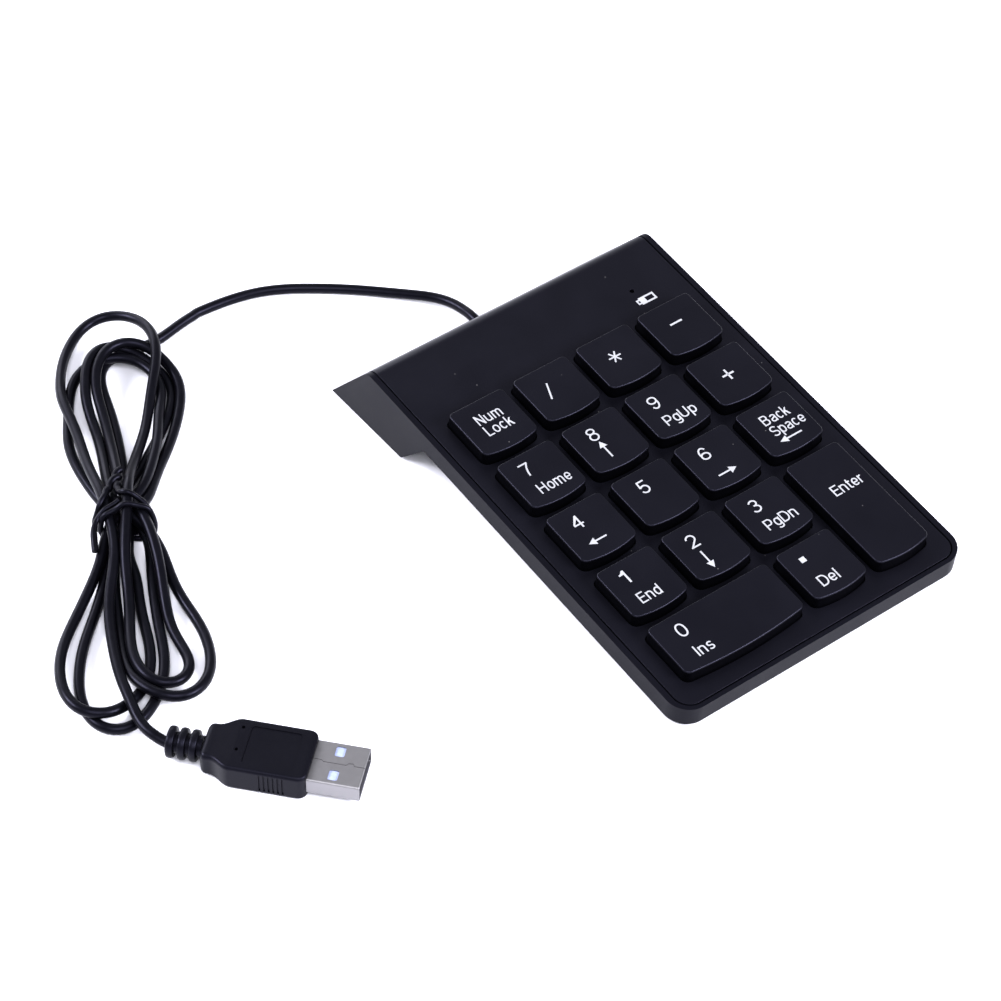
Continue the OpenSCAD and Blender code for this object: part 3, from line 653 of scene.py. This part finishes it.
def key_shape(wide, tall, g):
    """Outline of a key: straight back, bowed front, rounded corners, grown by g."""
    w = KEY_W + wide * PITCH + 2 * g
    back, front = KEY_BACK + tall * PITCH / 2 + g, KEY_FRONT - tall * PITCH / 2 - g
    r, h = 1.6 + g, w / 2
    big = (h * h + KEY_BOW ** 2) / (2 * KEY_BOW)
    rise = math.sqrt((big - r) ** 2 - (h - r) ** 2)
    cy = front - KEY_BOW + big
    turn = math.degrees(math.atan2(h - r, rise))
    b = r * 0.7
    return (arc(h - b, back - b, b, 0, 90, 8) + arc(-h + b, back - b, b, 90, 180, 8)
            + arc(-h + r, cy - rise, r, 180, 270 - turn, 8)
            + arc(0, cy, big, 270 - turn * 0.9, 270 + turn * 0.9, 14)
            + arc(h - r, cy - rise, r, 270 + turn, 360, 8))


def build_cover():
    """The key plate: a window with a small gap round each key, and the lamp's hole."""
    skin = ([(RIM_FRONT + GROOVE, COVER_Z), (RIM_FRONT + GROOVE, DECK_H)] + roll
            + [tuple(seam_out - rear_dir * 0.15), tuple(seam_in - rear_dir * 0.15),
               (inner_y, COVER_Z)])
    w = CASE_W - 2 * (RIM_SIDE + GROOVE)
    cover = boolean(side_prism(skin, w),
                    prism(plan(w, RIM_FRONT + GROOVE, 150, INSET_R - GROOVE), -30, 9), "INTERSECT")
    windows = []
    for name, place in KEY_PLACES.items():
        x, y = key_at(*place)
        outline = key_shape(name == "0", name == "enter", FLARE + 0.35)
        windows.append(prism([(px + x, py + y) for px, py in outline], 2, 9))
    cover = boolean(cover, join(*windows))
    cover = boolean(cover, rod(27.5, 107.9, 0.65, 3, 7))
    return tidy(cover)


shell_piece = piece("case_shell", build_case(), DECK, CASE_MAT, "case", bevel=0.34)
replacement("bottom_case")
plate_piece = piece("key_plate", build_cover(), DECK, COVER_MAT, "case", bevel=0.24)
replacement("top_cover")


# ---- keys ----

def keycap(wide, tall):
    """A hollow cap: upright skirts, a tight round along the top edge and a flat top."""
    low, edge = FLARE + 0.12, 0.36

    def ring(g, z):
        return [(x, y, z) for x, y in key_shape(wide, tall, g)]

    rings = [ring(-0.7, ROOF_Z), ring(low - 0.85, SKIRT_Z + 0.1), ring(low - 0.8, SKIRT_Z),
             ring(low - 0.06, SKIRT_Z), ring(low, SKIRT_Z + 0.06)]
    rings += [ring(low - 0.02 * k, SKIRT_Z + k) for k in (1, 2, 3)]
    outer = low - 0.07
    rings.append(ring(outer, KEY_TOP - edge - 0.05))
    for k in range(7):
        a = math.radians(90 * k / 6)
        rings.append(ring(outer - edge * (1 - math.cos(a)), KEY_TOP - edge + edge * math.sin(a)))
    rings.append(ring(outer - edge - 0.3, KEY_TOP))
    return loft(rings)


# Height of the ink; widths of a letter's, a digit's, a sign's and a plus or minus sign's bars.
INK, LETTER, DIGIT, SIGN, BAR = 0.014, 0.35, 0.41, 0.42, 0.52


def stroke(points, width):
    """A flat bar with square ends along a line of points."""
    out = []
    for (x0, y0), (x1, y1) in zip(points, points[1:]):
        l = math.hypot(x1 - x0, y1 - y0)
        nx, ny = -(y1 - y0) / l * width / 2, (x1 - x0) / l * width / 2
        out.append([(x0 + nx, y0 + ny), (x0 - nx, y0 - ny), (x1 - nx, y1 - ny), (x1 + nx, y1 + ny)])
    return out


def arrow(tip, tail, head=1.9, half=1.05):
    """An arrow with a solid head, from its tip back to its tail."""
    d = (Vector(tail) - Vector(tip)).normalized()
    s = Vector((-d.y, d.x))
    neck = Vector(tip) + d * head
    return [[tuple(tip), tuple(neck + s * half), tuple(neck - s * half)]] + stroke(
        [tuple(neck), tail], SIGN)


def bow(cx, cy, rx, ry, start, end, power=1.0):
    """Points on an elliptical arc; a power below 1 squares its shoulders."""
    steps = max(6, int(abs(end - start) / 9))
    out = []
    for i in range(steps + 1):
        a = math.radians(start + (end - start) * i / steps)
        c, q = math.cos(a), math.sin(a)
        out.append((cx + rx * math.copysign(abs(c) ** power, c),
                    cy + ry * math.copysign(abs(q) ** power, q)))
    return out


def ribbon(points, width, closed=False):
    """A flat bar of even width along a line of points, from z 0 to 1."""
    p = np.array(points, float)
    if closed:
        p = p[:-1]
    n = len(p)
    ahead = np.roll(p, -1, 0) - p
    ahead /= np.linalg.norm(ahead, axis=1)[:, None]
    behind = np.roll(ahead, 1, 0)
    if not closed:
        ahead[-1], behind[0] = behind[-1], ahead[0]
    side = ahead + behind
    side /= np.linalg.norm(side, axis=1)[:, None]
    reach = width / 2 / np.maximum((side * ahead).sum(1), 0.4)
    out = np.stack([-side[:, 1], side[:, 0]], 1) * reach[:, None]
    rows = [(p + out, 0), (p - out, 0), (p - out, 1), (p + out, 1)]
    verts = [(x, y, z) for points, z in rows for x, y in points]
    faces = []
    for i in range(n if closed else n - 1):
        j = (i + 1) % n
        faces += [(k * n + i, k * n + j, (k + 1) % 4 * n + j, (k + 1) % 4 * n + i)
                  for k in range(4)]
    if not closed:
        faces += [tuple(k * n for k in range(4)), tuple(k * n + n - 1 for k in range(3, -1, -1))]
    return solid(verts, faces)


def glyph(sign, t):
    """Strokes and width of a plain grotesque character of capital height 1 and stroke t."""
    a, x = t / 2, 0.745
    wide = {"N": 0.66, "H": 0.66, "U": 0.65, "D": 0.68, "P": 0.62, "B": 0.64, "S": 0.64, "E": 0.58,
            "L": 0.52, "I": t, "l": t, "m": 0.82, "t": 0.3, "r": 0.32, "c": 0.5, "k": 0.5,
            "s": 0.48, "1": 0.36}
    w = wide.get(sign, 0.66 if sign.isdigit() else 0.53)
    m, r = w / 2, w / 2 - a
    stem, far, low, post = [[(at, 0), (at, top)] for top in (1, x) for at in (a, w - a)]
    round_x = ("ring", bow(m, x / 2, r, x / 2 - a, 0, 360, power=0.93))
    h = 1 if sign == "S" else x
    ry, q = (h - t) / 4, (m - a) / 2
    curl = [bow(m, h - a - ry, r - 0.02, ry, 22, 250, power=0.92)
            + bow(m, a + ry, r, ry, 70, -158, power=0.92)]
    six = [("ring", bow(m, a + 0.24, r, 0.24, 0, 360, power=0.95)),
           bow(m + 0.01, 0.5, r + 0.01, 0.5 - a, 190, 38)]
    nine = [[(w - u, 1 - v) for u, v in part] for part in (six[0][1], six[1])]
    shapes = {
        "I": [stem], "l": [stem], "S": curl, "s": curl, "6": six, "9": [("ring", nine[0]), nine[1]],
        "m": [low, bow(a + q, x - a - 0.16, q, 0.16, 180, 0) + [(m, 0)],
              bow(m + q, x - a - 0.16, q, 0.16, 180, 0) + [(w - a, 0)]],
        "L": [[(a, 1), (a, a), (w, a)]],
        "E": [[(w, 1 - a), (a, 1 - a), (a, a), (w, a)], [(a, 0.53), (w - 0.04, 0.53)]],
        "H": [stem, far, [(a, 0.53), (w - a, 0.53)]],
        "N": [stem, far,
              ("fill", [(0, 1), (0, 0.92), (w - t * 1.15, 0), (w, 0), (w, 0.08), (t * 1.15, 1)])],
        "U": [[(a, 1)] + bow(m, a + 0.24, r, 0.24, 180, 360) + [(w - a, 1)]],
        "P": [stem,
              [(a, 1 - a)] + bow(w - a - 0.2, 0.68, 0.2, 0.32 - a, 90, -90) + [(a, 0.36 + a)]],
        "B": [stem, [(a, 1 - a)] + bow(w - a - 0.2, 0.765 - a / 2, 0.17, 0.235 - a / 2, 90, -90)
              + [(a, 0.53)],
              [(a, 0.53)] + bow(w - a - 0.2, 0.265 + a / 2, 0.2, 0.265 - a / 2, 90, -90)
              + [(a, a)]],
        "D": [("ring", [(a, 1 - a)] + bow(w - a - 0.3, 0.5, 0.3, 0.5 - a, 90, -90)
               + [(a, a), (a, 1 - a)])],
        "o": [round_x],
        "c": [bow(m, x / 2, r, x / 2 - a, 42, 318, power=0.93)],
        "e": [bow(m, x / 2, r, x / 2 - a, 4, 322, power=0.93), [(a, x * 0.47), (w - a, x * 0.47)]],
        "a": [[(w - a - 0.02, 0)] + bow(m, x - a - 0.16, r - 0.02, 0.16, 0, 160),
              [(w - a - 0.02, 0.46)] + bow(a + 0.14, a + 0.15, 0.14, 0.15, 90, 270)
              + [(w - a - 0.14, a), (w - a - 0.02, a + 0.1)]],
        "u": [post, [(a, x)] + bow(m, a + 0.19, r, 0.19, 180, 360)],
        "n": [low, bow(m, x - a - 0.19, r, 0.19, 180, 0) + [(w - a, 0)]],
        "r": [low, bow(w, x - a - 0.2, w - a, 0.2, 175, 92)],
        "t": [[(t * 0.95, 0.94)] + bow(t * 0.95 + 0.1, a + 0.1, 0.1, 0.1, 180, 270) + [(w, a)],
              [(0, x - a), (w, x - a)]],
        "k": [stem, ("fill", [(t * 0.8, 0.2), (t * 0.8, 0.42), (w - t * 1.4, x), (w - 0.02, x)]),
              ("fill", [(w - t * 1.25, 0), (w, 0), (w * 0.5 + a, 0.5), (w * 0.5 - a, 0.36)])],
        "g": [round_x, [(w - a, x), (w - a, -0.06)] + bow(m, -0.07, r, 0.22 - a, 0, -155)],
        "p": [round_x, [(a, -0.29), (a, x)]],
        "d": [round_x, far],
        "0": [("ring", bow(m, 0.5, r, 0.5 - a, 0, 360, power=0.86))],
        "1": [far, ("fill", [(0, 0.68), (0, 0.8), (0.12, 0.83), (w - t, 1), (w - a, 1),
                             (w - t, 0.72), (w - t, 0.7)])],
        "2": [bow(m, 0.98 - a - 0.25, r, 0.27, 170, -38) + [(a * 1.6, a * 1.4)], [(0, a), (w, a)]],
        "3": [bow(m - 0.01, 0.98 - a - 0.19, r - 0.03, 0.21, 160, -75),
              bow(m - 0.01, a + 0.235, r, 0.235, 75, -160),
              [(m - 0.06, 0.535), (m + 0.06, 0.535)]],
        "4": [[(w - 0.2, 0), (w - 0.2, 1)], [(0, 0.3), (w, 0.3)],
              ("fill", [(0, 0.24), (0, 0.4), (w - 0.2 - a, 1), (w - 0.2, 1), (w - 0.2, 0.8)])],
        "5": [[(w - 0.05, 1 - a), (a + 0.07, 1 - a), (a + 0.02, 0.46)],
              bow(m - 0.01, a + 0.255, r, 0.275, 146, -158)],
        "7": [("fill", [(0, 1 - t), (0, 1), (w - 0.01, 1), (w - 0.01, 1 - t)]),
              [(w - a - 0.01, 1 - a), (w * 0.62, 0.62), (w * 0.46, 0.28), (w * 0.4, 0)]],
        "8": [("ring", bow(m, 0.78 - a / 2, r - 0.03, 0.22 - a / 2, 0, 360)),
              ("ring", bow(m, 0.28 + a / 2, r, 0.28 - a / 2, 0, 360))],
    }
    return shapes[sign], w


def lettering(text, left, right, base, cap=3.1, bar=LETTER):
    """Flat lettering from left to right, its capitals cap tall and its strokes bar wide."""
    t, at, meshes = bar / cap, 0.0, []
    for sign in text:
        parts, w = glyph(sign, t)
        bars = []
        for part in parts:
            if isinstance(part, list):
                bars.append(ribbon(part, t))
            elif part[0] == "ring":
                bars.append(ribbon(part[1], t, closed=True))
            else:
                bars.append(prism(part[1], 0, 1))
        shape = union(bars)
        shape.transform(Matrix.Translation((at, 0, 0)))
        meshes.append(shape)
        at += w + (0.15 if sign in "NHUIlmnudB1" else 0.1)
    total = max(v.co.x for v in meshes[-1].vertices)
    word = join(*meshes)
    word.transform(Matrix.Translation((left, base, 0))
                   @ Matrix.Diagonal(((right - left) / total, cap, 1, 1)))
    return word


def ink(*shapes, z=KEY_TOP):
    """Prints polygons and lettering a hair above the surface."""
    meshes = []
    for shape in shapes:
        if isinstance(shape, bpy.types.Mesh):
            shape.transform(Matrix.Translation((0, 0, z - INK))
                            @ Matrix.Diagonal((1, 1, 2 * INK, 1)))
            meshes.append(shape)
        else:
            meshes.append(union([prism(outline, z - INK, z + INK) for outline in shape]))
    return join(*meshes)


def digit(text, left, right, base, cap=3.8):
    return lettering(text, left, right, base, cap, DIGIT)


def asterisk(x, y, r):
    """Three bars through a point, 60 degrees apart."""
    ways = [(r * math.cos(a), r * math.sin(a)) for a in (0, math.pi / 3, 2 * math.pi / 3)]
    return [stroke([(x - u, y - v), (x + u, y + v)], SIGN)[0] for u, v in ways]


# Places on the deck in mm: a word's left and right ends, its base and its capitals' height.
LEGENDS = {
    "num_lock": (lettering("Num", -32, -25, 91.2, 3.15), lettering("Lock", -32, -24.4, 87.4, 3.15)),
    "divide": (stroke([(-12.55, 88.6), (-10.7, 93.3)], SIGN),),
    "multiply": (asterisk(8.4, 91, 1.75),),
    "minus": (stroke([(26.1, 91.6), (29.7, 91.6)], BAR),),
    "7": (digit("7", -32.2, -29.6, 72.6, 3.9), lettering("Home", -32.1, -23, 66.6)),
    "8": (digit("8", -12.6, -10, 72.5, 3.9), arrow((-11.3, 72), (-11.3, 66.6))),
    "9": (digit("9", 5.8, 8.4, 72.3, 3.9), lettering("PgUp", 5.7, 14.8, 66.6)),
    "plus": (stroke([(26.3, 71.55), (29.7, 71.55)], BAR), stroke([(28, 69.85), (28, 73.25)], BAR)),
    "4": (digit("4", -31.9, -29.2, 53.6), arrow((-32.2, 48.8), (-27.1, 48.8))),
    "5": (digit("5", -12.3, -9.8, 53.4),),
    "6": (digit("6", 6, 8.6, 53.4), arrow((11.3, 48.1), (6, 48.1))),
    "backspace": (lettering("Back", 25.1, 33, 53.7), lettering("Space", 25, 34.9, 49.9),
                  arrow((25, 48.1), (31.6, 48.1), 2.1, 1.0)),
    "1": (digit("1", -32.2, -30.5, 34.8), lettering("End", -32.4, -26.4, 28.4)),
    "2": (digit("2", -13, -10.4, 34.4), arrow((-11.9, 27.5), (-11.9, 33))),
    "3": (digit("3", 6, 8.5, 34.4), lettering("PgDn", 5.6, 14.5, 28.7)),
    "enter": (lettering("Enter", 25.4, 34.3, 27.8),),
    "0": (digit("0", -31.1, -28.5, 15.8), lettering("Ins", -30.9, -26.1, 9.6)),
    "point": ([[(5.7, 17.1), (7.2, 17.1), (7.2, 18.6), (5.7, 18.6)]],
              lettering("Del", 5.5, 10.8, 9.1, 3.15)),
}
FROM_DECK = DECK.inverted()
for name, place in KEY_PLACES.items():
    cap = join(keycap(name == "0", name == "enter"), rod(0, 0, 3.5, STEM_Z, ROOF_Z + 0.1))
    cap.transform(Matrix.Translation((*key_at(*place), 0)))
    cap = piece("cap_" + name, cap, DECK, KEY_MAT, "key_" + name, sharp=40)
    cap.data.materials.append(SKIRT_SHADE_MAT)
    # Faces below the top's round take the darker material: painted shade on the skirts and inside
    # the cap.
    for face in cap.data.polygons:
        corners = [FROM_DECK @ cap.data.vertices[v].co for v in face.vertices]
        if max(corner.z for corner in corners) < KEY_TOP - 0.4:
            face.material_index = 1
    replacement("key_" + name)
    mark = piece("legend_" + name, ink(*LEGENDS[name]), DECK, LEGEND_MAT, "key_" + name)


# ---- silicone sheet ----

# Each key has its own dome.
SHEET_W, SHEET_Y, SHEET_Z = CASE_W - 2 * (RIM_SIDE + LEDGE) - 0.8, (3, FOOT_TOP_Y), (1.7, 2)
HOLE_Z, DOME_HOLE_R, BOSS_HOLE_R, DOME_KEEP, DOME_STEPS = (1, 3), 3.1, 2, 0.28, 40
# Radius and height, from the inside of the dome to its top.
DOME_PROFILE = ((1, 2.3), (1, 3.6), (1.6, 3.6), (2.8, 1.7), (3.4, 1.7), (3.4, 2), (2.2, 3.6),
                (2.2, 4.5))


def dome(x, y):
    turn = arc(0, 0, 1, 0, 360 * (1 - 1 / DOME_STEPS), DOME_STEPS - 1)
    return loft([[(x + r * c, y + r * s, z) for c, s in turn] for r, z in DOME_PROFILE])


holes = [rod(*screw_at(*place), BOSS_HOLE_R, *HOLE_Z) for place in DECK_SCREWS]
holes += [rod(*key_at(*place), DOME_HOLE_R, *HOLE_Z) for place in KEY_PLACES.values()]
flat_sheet = boolean(block((-SHEET_W / 2, SHEET_W / 2), SHEET_Y, SHEET_Z), join(*holes))
sheet_obj = piece("silicone_sheet", flat_sheet, DECK, SILICONE, "case")
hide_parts("dome_sheet")
for name, place in KEY_PLACES.items():
    x, y = key_at(*place)
    dome_obj = piece("dome_" + name, dome(x, y), DECK, SILICONE, "case")
    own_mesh(dome_obj)


# ---- battery mark ----

# Left, right, low and high ends of the bars that it is printed with.
BATTERY = ((27, 31.5, 102.75, 103.25), (27, 31.5, 104.6, 105.1), (31, 31.5, 103.25, 104.6),
           (27, 28.7, 103.25, 104.6), (26.1, 27, 103.15, 103.55), (26.1, 27, 104.25, 104.7),
           (26.1, 26.5, 103.55, 104.25))
bars = [[(x0, y0), (x1, y0), (x1, y1), (x0, y1)] for x0, x1, y0, y1 in BATTERY]
piece("battery_mark", ink(bars, z=DECK_H), DECK, LEGEND_MAT, "case")


# ---- plug ----

def rounded(x0, x1, y0, y1, r, steps):
    """Outline of a rectangle with round corners."""
    return (arc(x1 - r, y1 - r, r, 0, 90, steps) + arc(x0 + r, y1 - r, r, 90, 180, steps)
            + arc(x0 + r, y0 + r, r, 180, 270, steps) + arc(x1 - r, y0 + r, r, 270, 360, steps))


def rounded_ring(x, half_w, half_t, r, steps=5):
    """A rounded rectangle square to the plug's axis."""
    r = min(r, half_w, half_t)
    return [(x, y, z) for y, z in rounded(-half_w, half_w, -half_t, half_t, r, steps)]


def build_plug_body():
    """The moulded body, with its sunk panel, two pin marks and grip ribs at the sides."""
    neck, full, t = 5.2, PLUG_W / 2, PLUG_T / 2
    rings = []
    for k in range(5):
        a = math.radians(90 * k / 4)
        rings.append(rounded_ring(-24.7 + 1.3 * (1 - math.cos(a)), neck - 1.3 * (1 - math.sin(a)),
                                  t - 0.25 - 1.0 * (1 - math.sin(a)), 1.2))
    for k in range(13):
        f = k / 12
        half = neck + (full - neck) * (1 - math.cos(math.pi * f)) / 2
        rings.append(rounded_ring(-22.5 + 5 * f, half, t - 0.25 * (1 - f), 1.1 - 0.2 * f))
    rings += [rounded_ring(x, full, t, 0.9) for x in (-15, -12, -8, -4, -2.2)]
    for k in range(1, 8):
        a = math.radians(90 * k / 7)
        rings.append(rounded_ring(-2.1 + 2.1 * math.sin(a), full - 2.0 * (1 - math.cos(a)),
                                  t - 0.5 * (1 - math.cos(a)) ** 1.5, 0.9))
    body = loft(rings)
    panel = rounded(-15, -3.4, -5.4, 5.4, 0.8, 4)
    body = boolean(body, prism(panel, t - 0.18, t + 2))
    for y in (-1.8, 4.6):
        body = boolean(body, rod(-16.9, y, 0.42, t - 1.2, t + 2, 20))
    for s in (-1, 1):
        for i in range(6):
            x = -10.6 + i * 1.05
            rib = block((x, x + 0.42), (s * full - 0.3, s * full + 0.3), (-t + 1.1, t - 1.0))
            body = boolean(body, rib)
    return body


def build_shell():
    """The folded metal shell, with its four windows and the seam on top."""
    w, t = SHELL_W / 2, SHELL_T / 2
    outer = loft([rounded_ring(-3, w, t, 0.55), rounded_ring(SHELL_L - 0.12, w, t, 0.55),
                  rounded_ring(SHELL_L, w - 0.1, t - 0.1, 0.5)])
    inner = loft([rounded_ring(x, w - 0.3, t - 0.3, 0.3) for x in (-4, SHELL_L + 1)])
    shell = boolean(outer, inner)
    for s in (-1, 1):
        for y in (-3.4, 3.4):
            window = rounded(4.3, 6.55, y - 1.4, y + 1.4, 0.45, 5)
            shell = boolean(shell, prism(window, s * t - 0.6, s * t + 0.6))
    seam = [(-0.5, 0.35), (1.9, 0.35), (2.3, -0.1), (7.6, -0.1), (7.9, 0.45), (9.1, 0.6),
            (9.3, -0.05), (SHELL_L + 1, -0.05)]
    for line in stroke(seam, 0.14):
        shell = boolean(shell, prism(line, t - 0.2, t + 1))
    return shell


def build_relief():
    """Three soft rings on a core; the lead goes in at the rear."""
    core = [rounded_ring(x, r, r, r, 8) for x, r in ((-33.3, 1.9), (-32.9, 2.5), (-25, 2.6))]
    parts = [loft(core)]
    for i in range(3):
        rings = []
        for k in range(13):
            a = math.pi * k / 12
            swell = math.sin(a) ** 0.32
            rings.append(rounded_ring(-33.1 + i * 2.65 + 0.9 * (1 - math.cos(a)),
                                      2.5 + 1.05 * swell, 2.5 + 1.0 * swell, 2.4 + 0.7 * swell, 8))
        parts.append(loft(rings))
    return union(parts)


body_obj = piece("plug_moulding", build_plug_body(), PLUG, PLUG_MAT, "case", sharp=38)
replacement("plug_body")
shell_obj = piece("plug_sleeve", build_shell(), PLUG, NICKEL, "case", sharp=30)
replacement("plug_shell")
relief_obj = piece("plug_bend_relief", build_relief(), PLUG, PLUG_MAT, "case", sharp=50)
replacement("plug_relief")


# ---- twist tie ----

TIE_D, TWISTED, TWIST_STEP, THICK = 1.4, 14, 0.62, 16
# Points in mm that the tie's strands follow: two turns, a band round the hank, and a loose end.
TIE_KNOT = [
    (-104.3, 67.9, 9.2), (-106, 65.4, 9.5), (-107.9, 63.2, 9.6), (-108.6, 60.9, 9.6),
    (-108, 59.8, 9.7), (-106, 58.7, 9.7), (-104.8, 56, 9), (-104.3, 54, 7), (-104.6, 53.4, 4.5),
    (-105.6, 54, 1.6), (-107.5, 56, 0.6), (-111, 59, 0.6), (-114.5, 61.3, 0.8), (-115.9, 61.4, 2.2),
    (-116.1, 61.8, 4), (-115.5, 61.5, 6), (-114.2, 61, 7.7), (-112.3, 62.2, 8.6), (-110.9, 63.3, 9),
    (-109.6, 65.7, 9), (-107, 66.9, 9.2), (-104.5, 68.3, 9.4),
]
TIE_BAND = [
    (-105.4, 52.4, 1.4), (-104.6, 52.2, 3.6), (-104.6, 52.3, 6.5), (-105.6, 53.9, 8.6),
    (-107.7, 56.1, 9.5), (-110.4, 57.5, 9.4), (-113.1, 57.8, 8.8), (-114.4, 57.8, 7.4),
    (-115.3, 57.6, 5), (-115.1, 57.4, 2.4), (-113.6, 56.6, 0.7), (-110.6, 55.2, 0.6),
    (-107.4, 53.2, 0.6), (-105.8, 52.5, 1),
]
TIE_TAIL = [
    (-109.2, 59, 10), (-110.8, 59.2, 9.8), (-112.6, 59.6, 9.2), (-114.8, 60, 8.2),
    (-117.6, 58.7, 7.2), (-119.4, 55.6, 6.4), (-121, 52.6, 5.6),
]


def hug(points, reach):
    """Lays a strand of the tie on the turns of the lead, clear of them all."""
    x = points.copy()
    for _ in range(60):
        gap = x[:, None] - lead_path[None]
        size = np.linalg.norm(gap, axis=2)
        deep = np.maximum(reach - size, 0)
        x += (gap / (size[..., None] + 1e-9) * deep[..., None]).sum(1) * 0.25
        x[1:-1] += 0.15 * (x[:-2] + x[2:] - 2 * x[1:-1])
        x[:, 2] = np.maximum(x[:, 2], TIE_D / 2 + 0.01)
    return x


def wire_mesh(strands, widths, d):
    """Round wires as a mesh, closed at their ends."""
    obj = round_wire("wire", strands, d, 8, widths)
    mesh = made_mesh(obj)
    bpy.data.objects.remove(obj)
    return welded(mesh, 0.0001)


knot, band, tail = [hug(through(route, 0.5), (CORD_D + TIE_D) / 2)
                    for route in (TIE_KNOT, TIE_BAND, TIE_TAIL)]
# The knot's two ends are twisted round each other.
turns = np.arange(TWISTED) * TWIST_STEP
twist = np.stack([TIE_D / 2 * np.cos(turns), TIE_D / 2 * np.sin(turns), 0.4 * np.sin(turns + 1)], 1)
first, last = knot[:TWISTED], knot[::-1][:TWISTED]
middle = (first + last) / 2
fade = np.linspace(1, 0, TWISTED)[:, None] ** 0.5
first += (middle + twist - first) * fade
last += (middle - twist - last) * fade
widths = [np.ones(len(knot)), np.ones(len(band)),
          0.85 + 0.35 * np.clip((np.arange(len(tail)) / len(tail) - 0.45) * 4, 0, 1)]
widths[0][:THICK] = widths[0][-THICK:] = 1.25
tie_mesh = wire_mesh((knot, band, tail), widths, TIE_D)
tie = piece("tie_wire", tie_mesh, WORLD, TIE_MAT, "case", sharp=60)
replacement("twist_tie")


# ---- carried-over CAD nodes ----

for name, material in INNER_MATS.items():
    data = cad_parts[name].data
    data.materials.clear()
    data.materials.append(material)


# ---- floor and light ----

FLOOR_LOW, FLOOR_HIGH, FLOOR_HALF = (0.735, 0.735, 0.765, 1), (0.755, 0.755, 0.785, 1), 6


def add_floor():
    m = Nodes("pale_floor")
    m.ramp(m.noise(3, 1), FLOOR_LOW, FLOOR_HIGH, into="Base Color")
    m.set(Roughness=0.7, Specular_IOR_Level=0.2)
    mesh = bpy.data.meshes.new("floor")
    s = FLOOR_HALF
    mesh.from_pydata([(-s, -s, 0), (s, -s, 0), (s, s, 0), (-s, s, 0)], [], [(0, 1, 2, 3)])
    mesh.materials.append(m.material)
    shown("floor", mesh)


# Each soft light's name, place and size in metres, and power in watts.
LIGHTS = (("front_right", (0.75, -1.3, 0.95), (0.9, 0.6), 76),
          ("left_back", (-1.15, 1.0, 1.0), (0.9, 0.6), 66),
          ("back", (0.1, 1.6, 0.7), (1.4, 0.6), 18),
          ("top_front", (-0.6, -0.9, 1.6), (1.2, 1.2), 42))
AIM, COOL = Vector((-0.04, 0.03, 0)), (0.92, 0.92, 1)


def add_light(name, place, size, power):
    data = bpy.data.lights.new(name, "AREA")
    data.shape, data.size, data.size_y = "RECTANGLE", size[0], size[1]
    data.energy, data.color = power, COOL
    turn = (Vector(place) - AIM).to_track_quat("Z", "Y")
    shown(name, data).matrix_world = Matrix.LocRotScale(Vector(place), turn, None)


def add_world():
    """An even pale surround."""
    world = bpy.data.worlds.new("studio")
    world.use_nodes = True
    back = world.node_tree.nodes.get("Background")
    back.inputs["Color"].default_value = (0.92, 0.93, 1, 1)
    back.inputs["Strength"].default_value = 0.7
    bpy.context.scene.world = world


add_floor()
add_world()
for light in LIGHTS:
    add_light(*light)
bpy.context.scene.view_settings.view_transform = "Standard"
